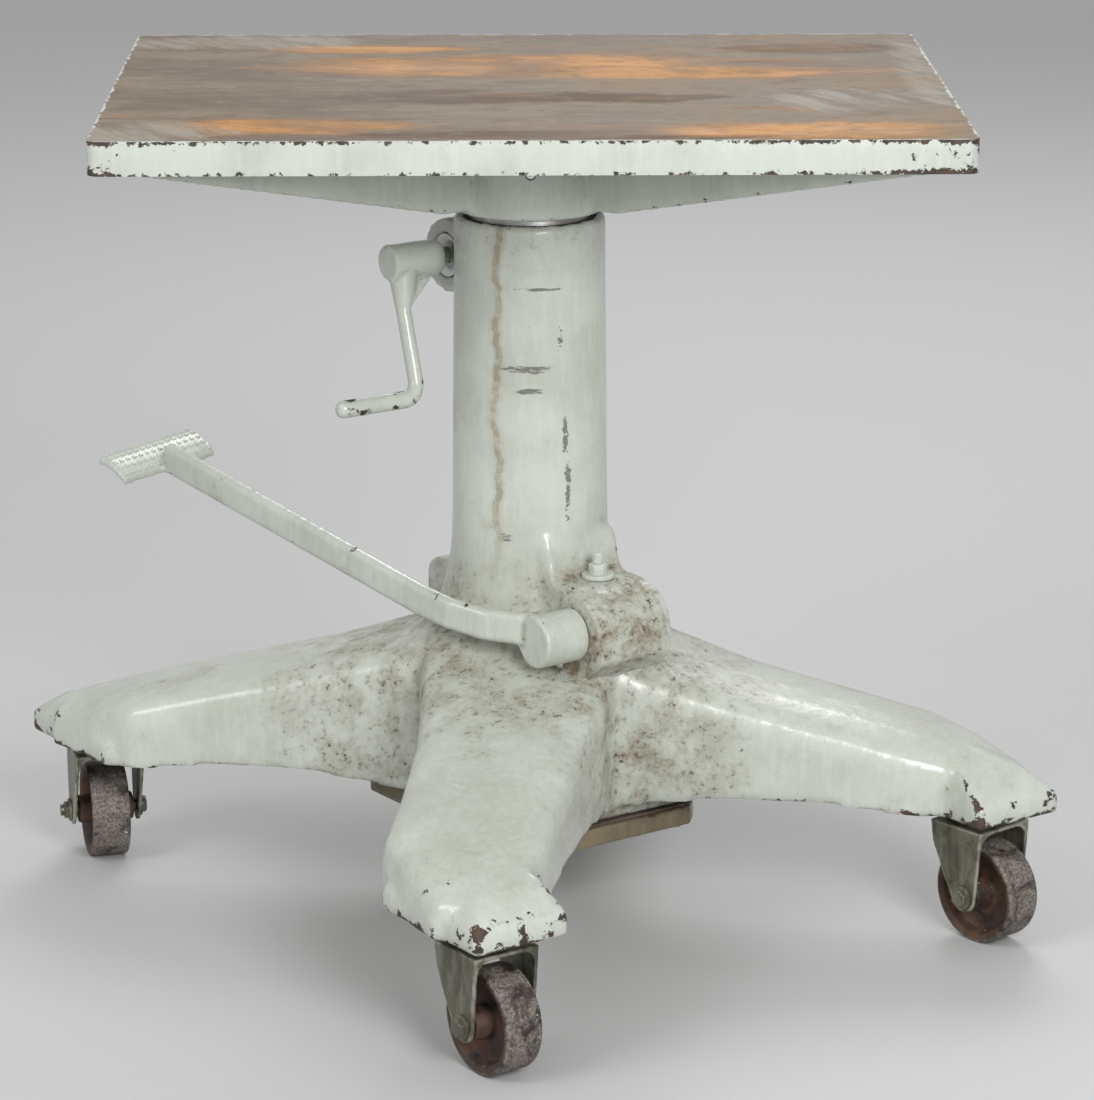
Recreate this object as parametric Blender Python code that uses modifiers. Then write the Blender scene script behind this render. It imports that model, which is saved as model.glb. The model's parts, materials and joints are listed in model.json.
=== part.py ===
"""Foot-pumped hydraulic elevating table: a cast pedestal on four swivel casters, a ram, a swivelling top.

Frame: origin on the column's axis at floor level, +Z up, +X along the pedal shaft and the lock screw.
Lengths are in metres, written as millimetres times MM.
"""
import math

import bmesh
import bpy
from mathutils import Matrix, Vector

MM = 0.001

# ---- clearances ---------------------------------------------------------------------------------
GAP = 0.3 * MM            # between faces that touch on the real table
RUN = 0.3 * MM            # radial play of a piece that turns or slides

RAM_RADIUS = 60 * MM
GUIDE_WALL = 4 * MM       # thickness of the bush and the wiper between the ram and the column

# ---- tabletop casting ---------------------------------------------------------------------------
TABLE_LENGTH = 813 * MM
TABLE_WIDTH = 641 * MM
TABLE_HEIGHT = 842 * MM   # working face above the floor, ram right down
TABLE_TURN = math.radians(-34.4)
PLATE_EDGE = 32 * MM      # depth of the rim
PLATE_WEB = 14 * MM       # thickness inside the rim
RIM_WIDTH = 18 * MM
PLATE_CORNER = 12 * MM
HUB_RADIUS = RAM_RADIUS + 15 * MM
HUB_DEPTH = 92 * MM       # below the rim
HUB_SOCKET_TOP = 42 * MM  # material left over the ram, below the working face
RIB_THICK = 12 * MM
RIB_DEPTH = 86 * MM       # at the hub, below the rim
RIB_INSET = 34 * MM       # from the plate's corner to the rib's end
SET_SCREW_DROP = 45 * MM  # below the rim
SET_SCREW_RADIUS = 5 * MM

# ---- pedestal casting ---------------------------------------------------------------------------
COLUMN_TOP = TABLE_HEIGHT - PLATE_EDGE - HUB_DEPTH - 3 * MM   # a slit under the hub
COLUMN_BORE = RAM_RADIUS + RUN + GUIDE_WALL + GAP
COLUMN_RADIUS = COLUMN_BORE + 10.4 * MM
COLUMN_GROWTH = 3 * MM    # the column is this much stouter above its flare
SHAFT_Y = -COLUMN_RADIUS - 53 * MM   # the pedal's shaft, clear of the column
FLARE_TOP = 410 * MM
FLARE_RADIUS = COLUMN_RADIUS + 51 * MM
FLARE_BOTTOM = 272 * MM
DRUM_BOTTOM = 240 * MM
FOOT_X = 299 * MM         # foot centres
FOOT_Y = 335 * MM
FOOT_UNDER = 134 * MM     # height of the feet's undersides
PAD_X = 105 * MM          # foot pad
PAD_Y = 159 * MM
PAD_EDGE = 26 * MM
PAD_CROWN = 60 * MM
LEG_WALL = 9 * MM
LEG_ARCH = 12 * MM        # how far the lower edge rises between column and foot
# along the leg: distance from the column's axis, half width, top edge height, crest height, and how far
# the leg's middle swings out towards the X axis
LEG_STATIONS = [
    (COLUMN_RADIUS - 35 * MM, 108 * MM, 282 * MM, 316 * MM, 0 * MM),
    (COLUMN_RADIUS + 15 * MM, 101 * MM, 270 * MM, 297 * MM, 0 * MM),
    (COLUMN_RADIUS + 59 * MM, 93 * MM, 250 * MM, 280 * MM, 0 * MM),
    (218 * MM, 84 * MM, 223 * MM, 254 * MM, 2 * MM),
    (324 * MM, 79 * MM, 197 * MM, 229 * MM, 9 * MM),
    (400 * MM, 78 * MM, 178 * MM, 210 * MM, 15 * MM),
    (450 * MM, 60 * MM, 164 * MM, 196 * MM, 8 * MM),
    (503 * MM, 32 * MM, 150 * MM, 172 * MM, 0 * MM),
]
WELL_X = 105 * MM         # half sizes of the oil well's outside
WELL_Y = 12 * MM - SHAFT_Y
WELL_BOTTOM = 119 * MM
WELL_TOP = 246 * MM
WELL_WALL = 8 * MM
WELL_LEDGE = 188 * MM     # the pump block is bolted up against this ledge
LEDGE_X = WELL_X - 31 * MM    # half sizes of the cavity above the ledge
LEDGE_Y = WELL_Y - 22 * MM
CAVITY_TOP = 270 * MM

# ---- oil well cover -----------------------------------------------------------------------------
GASKET_THICK = 1.7 * MM
COVER_THICK = 19 * MM
COVER_LIP = 6 * MM        # beyond the well's walls
COVER_DISH = 11 * MM
COVER_SCREW_RADIUS = 4 * MM
COVER_SCREW_INSET = 14 * MM   # from the well's outside

# ---- hydraulics ---------------------------------------------------------------------------------
RAM_WALL = 8 * MM
RAM_BOTTOM = 215 * MM
RAM_CROWN = 20 * MM       # thickness of the closed top
RAM_STROKE = 280 * MM
BUSH_LENGTH = 162 * MM
WIPER_HEIGHT = 11 * MM
WIPER_DROP = 3 * MM
BLOCK_THICK = 28 * MM
CYLINDER_OUTER = 34 * MM
CYLINDER_BORE = 25 * MM
CYLINDER_FLANGE = 44 * MM
CYLINDER_FLOOR = 12 * MM
HEAD_LENGTH = 34 * MM
PISTON_LENGTH = 22 * MM
SEAL_LENGTH = 9 * MM
# the piston stops short of the head at the top of its stroke
CYLINDER_LENGTH = RAM_STROKE + CYLINDER_FLOOR + PISTON_LENGTH + SEAL_LENGTH + HEAD_LENGTH + 8 * MM
ROD_RADIUS = 18 * MM
BLOCK_SCREW_RADIUS = 5 * MM

# ---- pump, pedal and stop -----------------------------------------------------------------------
SHAFT_Z = 317 * MM
SHAFT_RADIUS = 12 * MM
HOOD_LEFT = -36 * MM
HOOD_RIGHT = 53 * MM
HOOD_NOSE = 40 * MM       # radius round the shaft
HOOD_WALL = 11 * MM
HOOD_CHEEK = 17 * MM      # thickness of the side walls, which hold the bushes
HOOD_HEAD = SHAFT_Z + 82 * MM   # where the hood runs out on the column
BUSH_WALL = 4 * MM
PUMP_X = (HOOD_LEFT + HOOD_RIGHT) / 2
PUMP_Y = SHAFT_Y + 33 * MM
BARREL_RADIUS = 20 * MM
BARREL_TOP = SHAFT_Z - 63 * MM
PLUNGER_RADIUS = 11 * MM
PLUNGER_HEAD = 15 * MM
PLUNGER_HEAD_THICK = 7 * MM
SPRING_WIRE = 1.5 * MM
SPRING_TURNS = 4
SPRING_POINTS = 11        # in each turn
ROCKER_HUB = 17 * MM
ROCKER_WIDTH = 22 * MM
ROCKER_NOSE = 8 * MM
ROCKER_RELIEF = 2.5 * MM   # the bar is cut back to this below the shaft's level, clear of the plunger
PEDAL_STROKE = math.radians(12)
PEDAL_BOSS_RADIUS = 26.5 * MM
PEDAL_BOSS_LENGTH = 50 * MM
PEDAL_BOSS_GAP = 1 * MM
PEDAL_BAR_HEIGHT = 32 * MM
PEDAL_BAR_THICK = 15 * MM
# centre line of the bar from the boss to the tread, from a point on the shaft's axis
PEDAL_ROUTE = [(-62, 0, 8), (-84, 23, 8), (-108, 51, 10), (-124, 88, 15), (-131, 128, 20), (-152, 339, 53),
               (-172.5, 550.5, 85.5)]
TREAD_CENTRE = (-176, 568.5, 90.5)
TREAD_TURN = math.radians(8.5)
TREAD_ROLL = math.radians(4.7)
TREAD_LENGTH = 124 * MM
TREAD_WIDTH = 44 * MM
TREAD_THICK = 8 * MM
TREAD_SAG = 16 * MM
STOP_Y = SHAFT_Y + 23 * MM
STOP_SEAT = SHAFT_Z + 45 * MM
STOP_RADIUS = 5 * MM
STOP_TOP = STOP_SEAT + 28 * MM
FILLER_RADIUS = 11 * MM
FILLER_HEAD = 16 * MM
REAR_FACE = COLUMN_RADIUS + 60 * MM   # flat end of the lug that takes the filler plug
REAR_TOP = SHAFT_Z + 23 * MM
REAR_LOW = SHAFT_Z - 55 * MM
REAR_BEND = 20 * MM
FILLER_Z = (REAR_TOP + REAR_LOW) / 2 + 8 * MM

# ---- ram lock -----------------------------------------------------------------------------------
LOCK_Y = RAM_RADIUS + 17 * MM
LOCK_Z = COLUMN_TOP - 51 * MM
LOCK_BOSS_RADIUS = 37.5 * MM
LOCK_BOSS_HALF = 50 * MM
COTTER_RADIUS = 22 * MM
COTTER_SLOT = 8 * MM
COTTER_RELIEF = 1 * MM    # between the saddle and the ram when the lock is slack
LOCK_SCREW_RADIUS = 8 * MM
LOCK_PITCH = 4 * MM
CRANK_REST = math.radians(-17)   # the slack crank hangs this far off upright
CRANK_GAP = 10 * MM        # between the boss and the crank's hub
CRANK_HUB_RADIUS = 18 * MM
CRANK_HUB_LENGTH = 58 * MM
CRANK_THROW = 136 * MM
CRANK_TAPER = 46 * MM      # from the hub's axis to where the arm is down to its rod
CRANK_BEND = 16 * MM
CRANK_ROD_RADIUS = 7.8 * MM
CRANK_WEB_HALF = 6 * MM    # half the thickness of the gusset under the hub
GRIP_RADIUS = 9 * MM
GRIP_REACH = 95 * MM       # from the rod's centre line to the grip's end

# ---- casters ------------------------------------------------------------------------------------
WHEEL_RADIUS = 51 * MM
WHEEL_STEPS = 24
TREAD_HALF = 20 * MM      # half the wheel's width
WHEEL_HUB_HALF = 29 * MM
WHEEL_HUB_RADIUS = 19 * MM
AXLE_RADIUS = 6 * MM
FORK_HALF = 36 * MM
FORK_SHEET = 4 * MM
FORK_CROWN = 122 * MM
CASTER_TRAIL = 17 * MM
STEM_RADIUS = 12.5 * MM
STEM_OUT = 15 * MM        # from the foot's centre to the stem, away from the pedestal
STEM_LENGTH = 44 * MM     # inside the foot
RACE_RADIUS = 32 * MM
AXLE_HEIGHT = WHEEL_RADIUS * math.cos(math.pi / WHEEL_STEPS)  # the wheel stands on a flat of its outline
# sign of the foot's x and y, and the direction in which the fork trails
CASTERS = [(-1, -1, -90), (1, -1, -84), (-1, 1, 69), (1, 1, 80)]

FINE = 40                 # steps of the large turned pieces
COARSE = 24               # steps of the small ones

# ---- helpers ------------------------------------------------------------------------------------
PAINT = ("enamel", (0.50, 0.55, 0.49), 0.35, 0.0)
TOP_IRON = ("worn_top", (0.28, 0.22, 0.17), 0.5, 0.4)
IRON = ("wheel_iron", (0.16, 0.11, 0.09), 0.7, 0.5)
FORK_STEEL = ("fork_steel", (0.24, 0.24, 0.19), 0.5, 0.6)
STEEL = ("bright_steel", (0.55, 0.55, 0.55), 0.3, 1.0)
COVER_PAINT = ("cover_paint", (0.36, 0.30, 0.20), 0.6, 0.1)
BRONZE = ("bronze", (0.55, 0.38, 0.18), 0.4, 1.0)
LEATHER = ("packing", (0.10, 0.08, 0.06), 0.8, 0.0)
CARD = ("gasket_card", (0.12, 0.10, 0.08), 0.9, 0.0)

for old in list(bpy.data.objects):
    bpy.data.objects.remove(old, do_unlink=True)

parts = bpy.data.collections.new("elevating_table")
cutters = bpy.data.collections.new("cutters")
for group in (parts, cutters):
    bpy.context.scene.collection.children.link(group)


def material(finish):
    name, colour, roughness, metallic = finish
    found = bpy.data.materials.get(name)
    if found is None:
        found = bpy.data.materials.new(name)
        found.use_nodes = True
        shader = found.node_tree.nodes["Principled BSDF"]
        shader.inputs["Base Color"].default_value = (*colour, 1)
        shader.inputs["Roughness"].default_value = roughness
        shader.inputs["Metallic"].default_value = metallic
    return found


def place(obj, parent=None, at=(0, 0, 0), turn=(0, 0, 0)):
    obj.location = at
    obj.rotation_euler = turn
    obj.parent = parent
    return obj


def axis(name, at, turn=(0, 0, 0), parent=None):
    """An empty on a joint's axis; the pieces that move with it hang from it."""
    empty = bpy.data.objects.new(name, None)
    cutters.objects.link(empty)
    empty.empty_display_size = 0.03
    return place(empty, parent, at, turn)


def from_bmesh(name, bm, finish=None, parent=None, at=(0, 0, 0), turn=(0, 0, 0)):
    """A part when it has a finish, otherwise a hidden tool for a Boolean."""
    mesh = bpy.data.meshes.new(name)
    bm.to_mesh(mesh)
    bm.free()
    obj = bpy.data.objects.new(name, mesh)
    if finish:
        parts.objects.link(obj)
        mesh.materials.append(material(finish))
    else:
        cutters.objects.link(obj)
        obj.hide_render = True
        obj.display_type = "WIRE"
    return place(obj, parent, at, turn)


def box(name, low, high, finish=None, parent=None, chamfer=0, upright_only=False, segments=1):
    bm = bmesh.new()
    bmesh.ops.create_cube(bm, size=1)
    low, high = Vector(low), Vector(high)
    for vert in bm.verts:
        vert.co = Vector(low[i] + (vert.co[i] + 0.5) * (high[i] - low[i]) for i in range(3))
    if chamfer:
        edges = bm.edges
        if upright_only:
            edges = [e for e in bm.edges if abs((e.verts[0].co - e.verts[1].co).normalized().z) > 0.9]
        bmesh.ops.bevel(bm, geom=list(edges), offset=chamfer, segments=segments, profile=0.5,
                         affect="EDGES", clamp_overlap=True)
    return from_bmesh(name, bm, finish, parent)


def rod(name, radius, start, end, finish=None, parent=None, steps=COARSE, end_radius=None, phase=0.0):
    """A cylinder or cone between two points."""
    start, end = Vector(start), Vector(end)
    along = end - start
    bm = bmesh.new()
    bmesh.ops.create_cone(bm, cap_ends=True, segments=steps, radius1=radius,
                          radius2=radius if end_radius is None else end_radius, depth=along.length)
    turn = along.to_track_quat("Z", "Y").to_matrix().to_4x4() @ Matrix.Rotation(phase, 4, "Z")
    bmesh.ops.transform(bm, matrix=Matrix.Translation((start + end) / 2) @ turn, verts=bm.verts)
    return from_bmesh(name, bm, finish, parent)


def turned(name, profile, finish=None, parent=None, at=(0, 0, 0), turn=(0, 0, 0), steps=FINE, ring=False):
    """A profile of (radius, height) turned about Z; the outer side runs from top to bottom."""
    mesh = bpy.data.meshes.new(name)
    count = len(profile)
    edges = [(i, i + 1) for i in range(count - 1)] + ([(count - 1, 0)] if ring else [])
    mesh.from_pydata([(r, 0, z) for r, z in profile], edges, [])
    obj = bpy.data.objects.new(name, mesh)
    if finish:
        parts.objects.link(obj)
        mesh.materials.append(material(finish))
    else:
        cutters.objects.link(obj)
        obj.hide_render = True
        obj.display_type = "WIRE"
    screw = obj.modifiers.new("turn", "SCREW")
    screw.steps = screw.render_steps = steps
    screw.use_merge_vertices = True
    screw.merge_threshold = 0.00001
    return place(obj, parent, at, turn)


def outline(name, points, low, high, across="X", finish=None, parent=None):
    """A flat outline, closed, extruded from low to high along X or Y. Points are the other two axes."""
    curve = bpy.data.curves.new(name, "CURVE")
    curve.dimensions = "2D"
    curve.fill_mode = "BOTH"
    curve.extrude = (high - low) / 2
    spline = curve.splines.new("POLY")
    spline.points.add(len(points) - 1)
    for point, (a, b) in zip(spline.points, points):
        point.co = (a, b, 0, 1)
    spline.use_cyclic_u = True
    flat = bpy.data.objects.new(name, curve)
    cutters.objects.link(flat)
    bpy.context.view_layer.update()
    depsgraph = bpy.context.evaluated_depsgraph_get()
    mesh = bpy.data.meshes.new_from_object(flat.evaluated_get(depsgraph))
    bpy.data.objects.remove(flat, do_unlink=True)
    bm = bmesh.new()
    bm.from_mesh(mesh)
    bpy.data.meshes.remove(mesh)
    bmesh.ops.remove_doubles(bm, verts=bm.verts, dist=0.00001)
    middle = (low + high) / 2
    if across == "X":      # the curve's x, y, z become Y, Z, X
        turn = Matrix(((0, 0, 1, middle), (1, 0, 0, 0), (0, 1, 0, 0), (0, 0, 0, 1)))
    else:                  # the curve's x, y, z become X, Z, Y
        turn = Matrix(((1, 0, 0, 0), (0, 0, 1, middle), (0, 1, 0, 0), (0, 0, 0, 1)))
    bmesh.ops.transform(bm, matrix=turn, verts=bm.verts)
    bmesh.ops.recalc_face_normals(bm, faces=bm.faces)
    return from_bmesh(name, bm, finish, parent)


def arc(centre, radius, start, end, count):
    """Points along an arc in a plane, angles in degrees."""
    angles = [math.radians(start + (end - start) * i / (count - 1)) for i in range(count)]
    return [(centre[0] + radius * math.cos(a), centre[1] + radius * math.sin(a)) for a in angles]


def loft(name, rings, finish=None, parent=None):
    """A closed body through rings with the same number of points, capped at both ends."""
    bm = bmesh.new()
    levels = [[bm.verts.new(p) for p in ring] for ring in rings]
    count = len(rings[0])
    for near, far in zip(levels, levels[1:]):
        for i in range(count):
            j = (i + 1) % count
            bm.faces.new((near[i], near[j], far[j], far[i]))
    bm.faces.new(levels[0])
    bm.faces.new(levels[-1])
    bmesh.ops.recalc_face_normals(bm, faces=bm.faces)
    return from_bmesh(name, bm, finish, parent)


def join(target, *tools):
    boolean(target, "UNION", tools)


def cut(target, *tools):
    boolean(target, "DIFFERENCE", tools)


def boolean(target, operation, tools):
    """Many tools meet in shared planes on the pedestal, where only the manifold solver stays closed."""
    for tool in tools:
        step = target.modifiers.new(operation.lower() + "_" + tool.name, "BOOLEAN")
        step.operation = operation
        step.solver = "MANIFOLD" if target.name == "pedestal" else "EXACT"
        step.object = tool


def mm(point):
    return tuple(value * MM for value in point)


# ---- pedestal -----------------------------------------------------------------------------------
def leg_ring(distance, half_width, edge, crest, low):
    """One cross-section of a leg: upright sides and a crowned top, as (across, height)."""
    crown = []
    for i in range(9):
        angle = math.pi * i / 8
        across = math.copysign(abs(math.cos(angle)) ** 0.7, math.cos(angle))
        crown.append((half_width * across, edge + (crest - edge) * math.sin(angle) ** 0.7))
    return [(distance, a, h) for a, h in [(half_width, low)] + crown + [(-half_width, low)]]


def leg_low(distance):
    """Height of the leg's lower edge: a shallow arch between the column and the foot."""
    start, end = 110 * MM, 400 * MM
    share = min(max((distance - start) / (end - start), 0), 1)
    return FOOT_UNDER + LEG_ARCH * math.sin(math.pi * share)


def leg(name, sign_x, sign_y, inset=0.0, first=0, last=None, low=None):
    """A leg towards one foot; inset makes the smaller shape of the hollow beneath it."""
    along = Vector((sign_x * FOOT_X, sign_y * FOOT_Y, 0)).normalized()
    across = Vector((-along.y, along.x, 0))
    rings = []
    for distance, half_width, edge, crest, swing in LEG_STATIONS[first:last]:
        base = leg_low(distance) if low is None else low
        ring = leg_ring(distance, half_width - inset, edge - inset, crest - inset, base)
        aside = -sign_x * sign_y * swing
        rings.append([along * d + across * (a + aside) + Vector((0, 0, h)) for d, a, h in ring])
    return loft(name, rings)


def foot(name, sign_x, sign_y):
    """The pad over one caster: upright edges and a top that slopes up to the leg."""
    centre = Vector((sign_x * FOOT_X, sign_y * FOOT_Y, 0))
    crown = PAD_CROWN - PAD_EDGE
    levels = [(1.0, FOOT_UNDER, 0.0), (1.0, FOOT_UNDER + PAD_EDGE * 0.8, 0.0),
              (0.95, FOOT_UNDER + PAD_EDGE, -0.003)]
    levels += [(0.74, FOOT_UNDER + PAD_EDGE + crown * 0.55, -0.025), (0.42, FOOT_UNDER + PAD_CROWN, -0.06)]
    rings = []
    for share, height, shift in levels:
        middle = centre * (1 + shift)
        corners = [(1, 1), (-1, 1), (-1, -1), (1, -1)]
        rings.append([middle + Vector((a * PAD_X / 2 * share, b * PAD_Y / 2 * share, height)) for a,
                      b in corners])
    return loft(name, rings)


def hood_outline():
    """The lug over the pedal shaft, as (y, z)."""
    root = SHAFT_Y + 68 * MM
    top = [(root, HOOD_HEAD + 6 * MM), (SHAFT_Y + 51 * MM, HOOD_HEAD),
           (SHAFT_Y + 44 * MM, STOP_SEAT + 8 * MM),
           (SHAFT_Y + 41 * MM, STOP_SEAT), (STOP_Y - 17 * MM, STOP_SEAT)]
    nose = arc((SHAFT_Y, SHAFT_Z), HOOD_NOSE, 95, 205, 9)
    low = SHAFT_Z - 55 * MM
    under = [(SHAFT_Y - 6 * MM, low + 6 * MM), (SHAFT_Y + 18 * MM, low), (root, low)]
    return top + nose + under


def rear_outline():
    """The small rounded lug behind the column, as (y, z)."""
    root, bend = COLUMN_RADIUS - 6 * MM, REAR_BEND
    upper = arc((REAR_FACE - bend, REAR_TOP - bend), bend, 90, 0, 6)
    lower = arc((REAR_FACE - bend, REAR_LOW + bend), bend, 0, -90, 6)
    return [(root, REAR_TOP)] + upper + lower + [(root, REAR_LOW)]


def hood_hollow():
    """The room for the rocker inside the hood, open below to the oil well."""
    nose = arc((SHAFT_Y, SHAFT_Z), HOOD_NOSE - HOOD_WALL, 80, 190, 8)
    wall, back, low = SHAFT_Y + 11 * MM, SHAFT_Y + 56 * MM, WELL_TOP - 10 * MM
    rest = [(SHAFT_Y + 4 * MM, SHAFT_Z - 35 * MM), (wall, SHAFT_Z - 47 * MM), (wall, low), (back, low),
            (back, SHAFT_Z + 33 * MM)]
    return nose + rest


def build_pedestal():
    top = COLUMN_TOP
    stout = COLUMN_RADIUS + COLUMN_GROWTH
    flare = []
    for i in range(1, 7):
        share = i / 6
        flare.append((stout + (FLARE_RADIUS - stout) * share ** 2.2,
                      FLARE_TOP + (FLARE_BOTTOM - FLARE_TOP) * (1 - (1 - share) ** 1.25)))
    outer = [(0, top), (COLUMN_RADIUS - 2 * MM, top), (COLUMN_RADIUS, top - 2 * MM), (stout, FLARE_TOP)]
    outer += flare + [(FLARE_RADIUS, DRUM_BOTTOM), (0, DRUM_BOTTOM)]
    pedestal = turned("pedestal", outer, PAINT)
    for k, (sx, sy, _) in enumerate(CASTERS, 1):
        join(pedestal, leg(f"leg_{k}", sx, sy), foot(f"foot_{k}", sx, sy))
        cut(pedestal, leg(f"leg_hollow_{k}", sx, sy, LEG_WALL, 2, 6, 100 * MM))
    join(pedestal, box("well", (-WELL_X, -WELL_Y, WELL_BOTTOM), (WELL_X, WELL_Y, WELL_TOP),
                       chamfer=12 * MM, upright_only=True))
    join(pedestal, outline("hood", hood_outline(), HOOD_LEFT, HOOD_RIGHT),
         outline("rear_lug", rear_outline(), HOOD_LEFT, HOOD_RIGHT),
         rod("lock_boss", LOCK_BOSS_RADIUS, (-LOCK_BOSS_HALF, LOCK_Y, LOCK_Z),
             (LOCK_BOSS_HALF, LOCK_Y, LOCK_Z)))
    inner_x, inner_y = WELL_X - WELL_WALL, WELL_Y - WELL_WALL
    ledge = box("ledge_hollow", (-LEDGE_X, -LEDGE_Y, 150 * MM), (LEDGE_X, LEDGE_Y, CAVITY_TOP),
                chamfer=20 * MM, upright_only=True)
    well = box("well_hollow", (-inner_x, -inner_y, 90 * MM), (inner_x, inner_y, WELL_LEDGE),
               chamfer=34 * MM, upright_only=True)
    cut(pedestal, well, ledge,
        rod("column_bore", COLUMN_BORE, (0, 0, 200 * MM), (0, 0, top + 20 * MM), steps=FINE),
        outline("hood_hollow", hood_hollow(), HOOD_LEFT + HOOD_CHEEK, HOOD_RIGHT - HOOD_CHEEK),
        rod("shaft_bore", SHAFT_RADIUS + BUSH_WALL + GAP, (HOOD_LEFT - 9 * MM, SHAFT_Y, SHAFT_Z),
            (HOOD_RIGHT + 9 * MM, SHAFT_Y, SHAFT_Z)),
        rod("stop_bore", STOP_RADIUS + GAP, (PUMP_X, STOP_Y, STOP_SEAT - 27 * MM),
            (PUMP_X, STOP_Y, STOP_SEAT + 10 * MM), steps=16),
        rod("filler_bore", FILLER_RADIUS + GAP, (PUMP_X, COLUMN_BORE - 12 * MM, FILLER_Z),
            (PUMP_X, REAR_FACE + 10 * MM, FILLER_Z)),
        rod("cotter_bore", COTTER_RADIUS + GAP, (-LOCK_BOSS_HALF - 20 * MM, LOCK_Y, LOCK_Z),
            (LOCK_BOSS_HALF + 20 * MM, LOCK_Y, LOCK_Z)))
    for k, (x, y) in enumerate(cover_screw_places(), 1):
        cut(pedestal, rod(f"cover_screw_bore_{k}", COVER_SCREW_RADIUS + GAP, (x, y, 110 * MM),
                          (x, y, 142 * MM),
                          steps=12))
    for k, (x, y) in enumerate(block_screw_places(), 1):
        cut(pedestal, rod(f"block_screw_bore_{k}", BLOCK_SCREW_RADIUS + GAP, (x, y, 180 * MM),
                          (x, y, WELL_LEDGE + 20 * MM), steps=12))
    for k, (sx, sy, _) in enumerate(CASTERS, 1):
        x, y = sx * FOOT_X, sy * (FOOT_Y + STEM_OUT)
        cut(pedestal, rod(f"stem_bore_{k}", STEM_RADIUS + GAP, (x, y, 120 * MM),
                          (x, y, FOOT_UNDER + STEM_LENGTH + 2 * MM), steps=16))
    return pedestal


def cover_screw_places():
    x, y = WELL_X - COVER_SCREW_INSET, WELL_Y - COVER_SCREW_INSET
    return [(a * x, b * y) for a, b in ((-1, -1), (1, -1), (1, 1), (-1, 1))]


def block_screw_places():
    x, y = LEDGE_X + 10 * MM, LEDGE_Y - 36 * MM
    return [(a * x, b * y) for a, b in ((-1, -1), (1, -1), (1, 1), (-1, 1))]


def hex_screw(name, radius, head_radius, head_thick, place_at, length, finish, parent=None, up=1):
    """A hexagon-headed screw along Z: the head's bearing face at place_at, the shank going up or down."""
    x, y, z = place_at
    body = rod(name, head_radius, (x, y, z - up * head_thick), (x, y, z), finish, parent, steps=6)
    join(body, rod(name + "_shank", radius, (x, y, z - up * head_thick / 2), (x, y, z + up * length), None,
                   parent, steps=12))
    return body


def build_sump():
    """The oil well's bottom cover, its gasket and screws."""
    gasket_top = WELL_BOTTOM - GAP
    cover_top = gasket_top - GASKET_THICK - GAP
    lip_x, lip_y = WELL_X + COVER_LIP, WELL_Y + COVER_LIP
    in_x, in_y = WELL_X - WELL_WALL - 8 * MM, WELL_Y - WELL_WALL - 8 * MM
    cover = box("sump_cover", (-lip_x, -lip_y, cover_top - COVER_THICK), (lip_x, lip_y, cover_top),
                COVER_PAINT, chamfer=16 * MM, upright_only=True)
    cut(cover, box("cover_dish", (-in_x, -in_y, cover_top - COVER_DISH), (in_x, in_y, cover_top + 9 * MM),
                   chamfer=30 * MM, upright_only=True))
    gasket = box("sump_gasket", (-WELL_X, -WELL_Y, gasket_top - GASKET_THICK), (WELL_X, WELL_Y, gasket_top),
                 CARD, chamfer=12 * MM, upright_only=True)
    cut(gasket, box("gasket_window", (-in_x, -in_y, 90 * MM), (in_x, in_y, 150 * MM), chamfer=30 * MM,
                    upright_only=True))
    for k, (x, y) in enumerate(cover_screw_places(), 1):
        hole = rod(f"cover_hole_{k}", COVER_SCREW_RADIUS + GAP, (x, y, 80 * MM), (x, y, 130 * MM), steps=12)
        cut(cover, hole)
        cut(gasket, hole)
        hex_screw(f"cover_screw_{k}", COVER_SCREW_RADIUS, 7.5 * MM, 5.5 * MM,
                  (x, y, cover_top - COVER_THICK - GAP), COVER_THICK + 20 * MM, STEEL)


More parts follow.
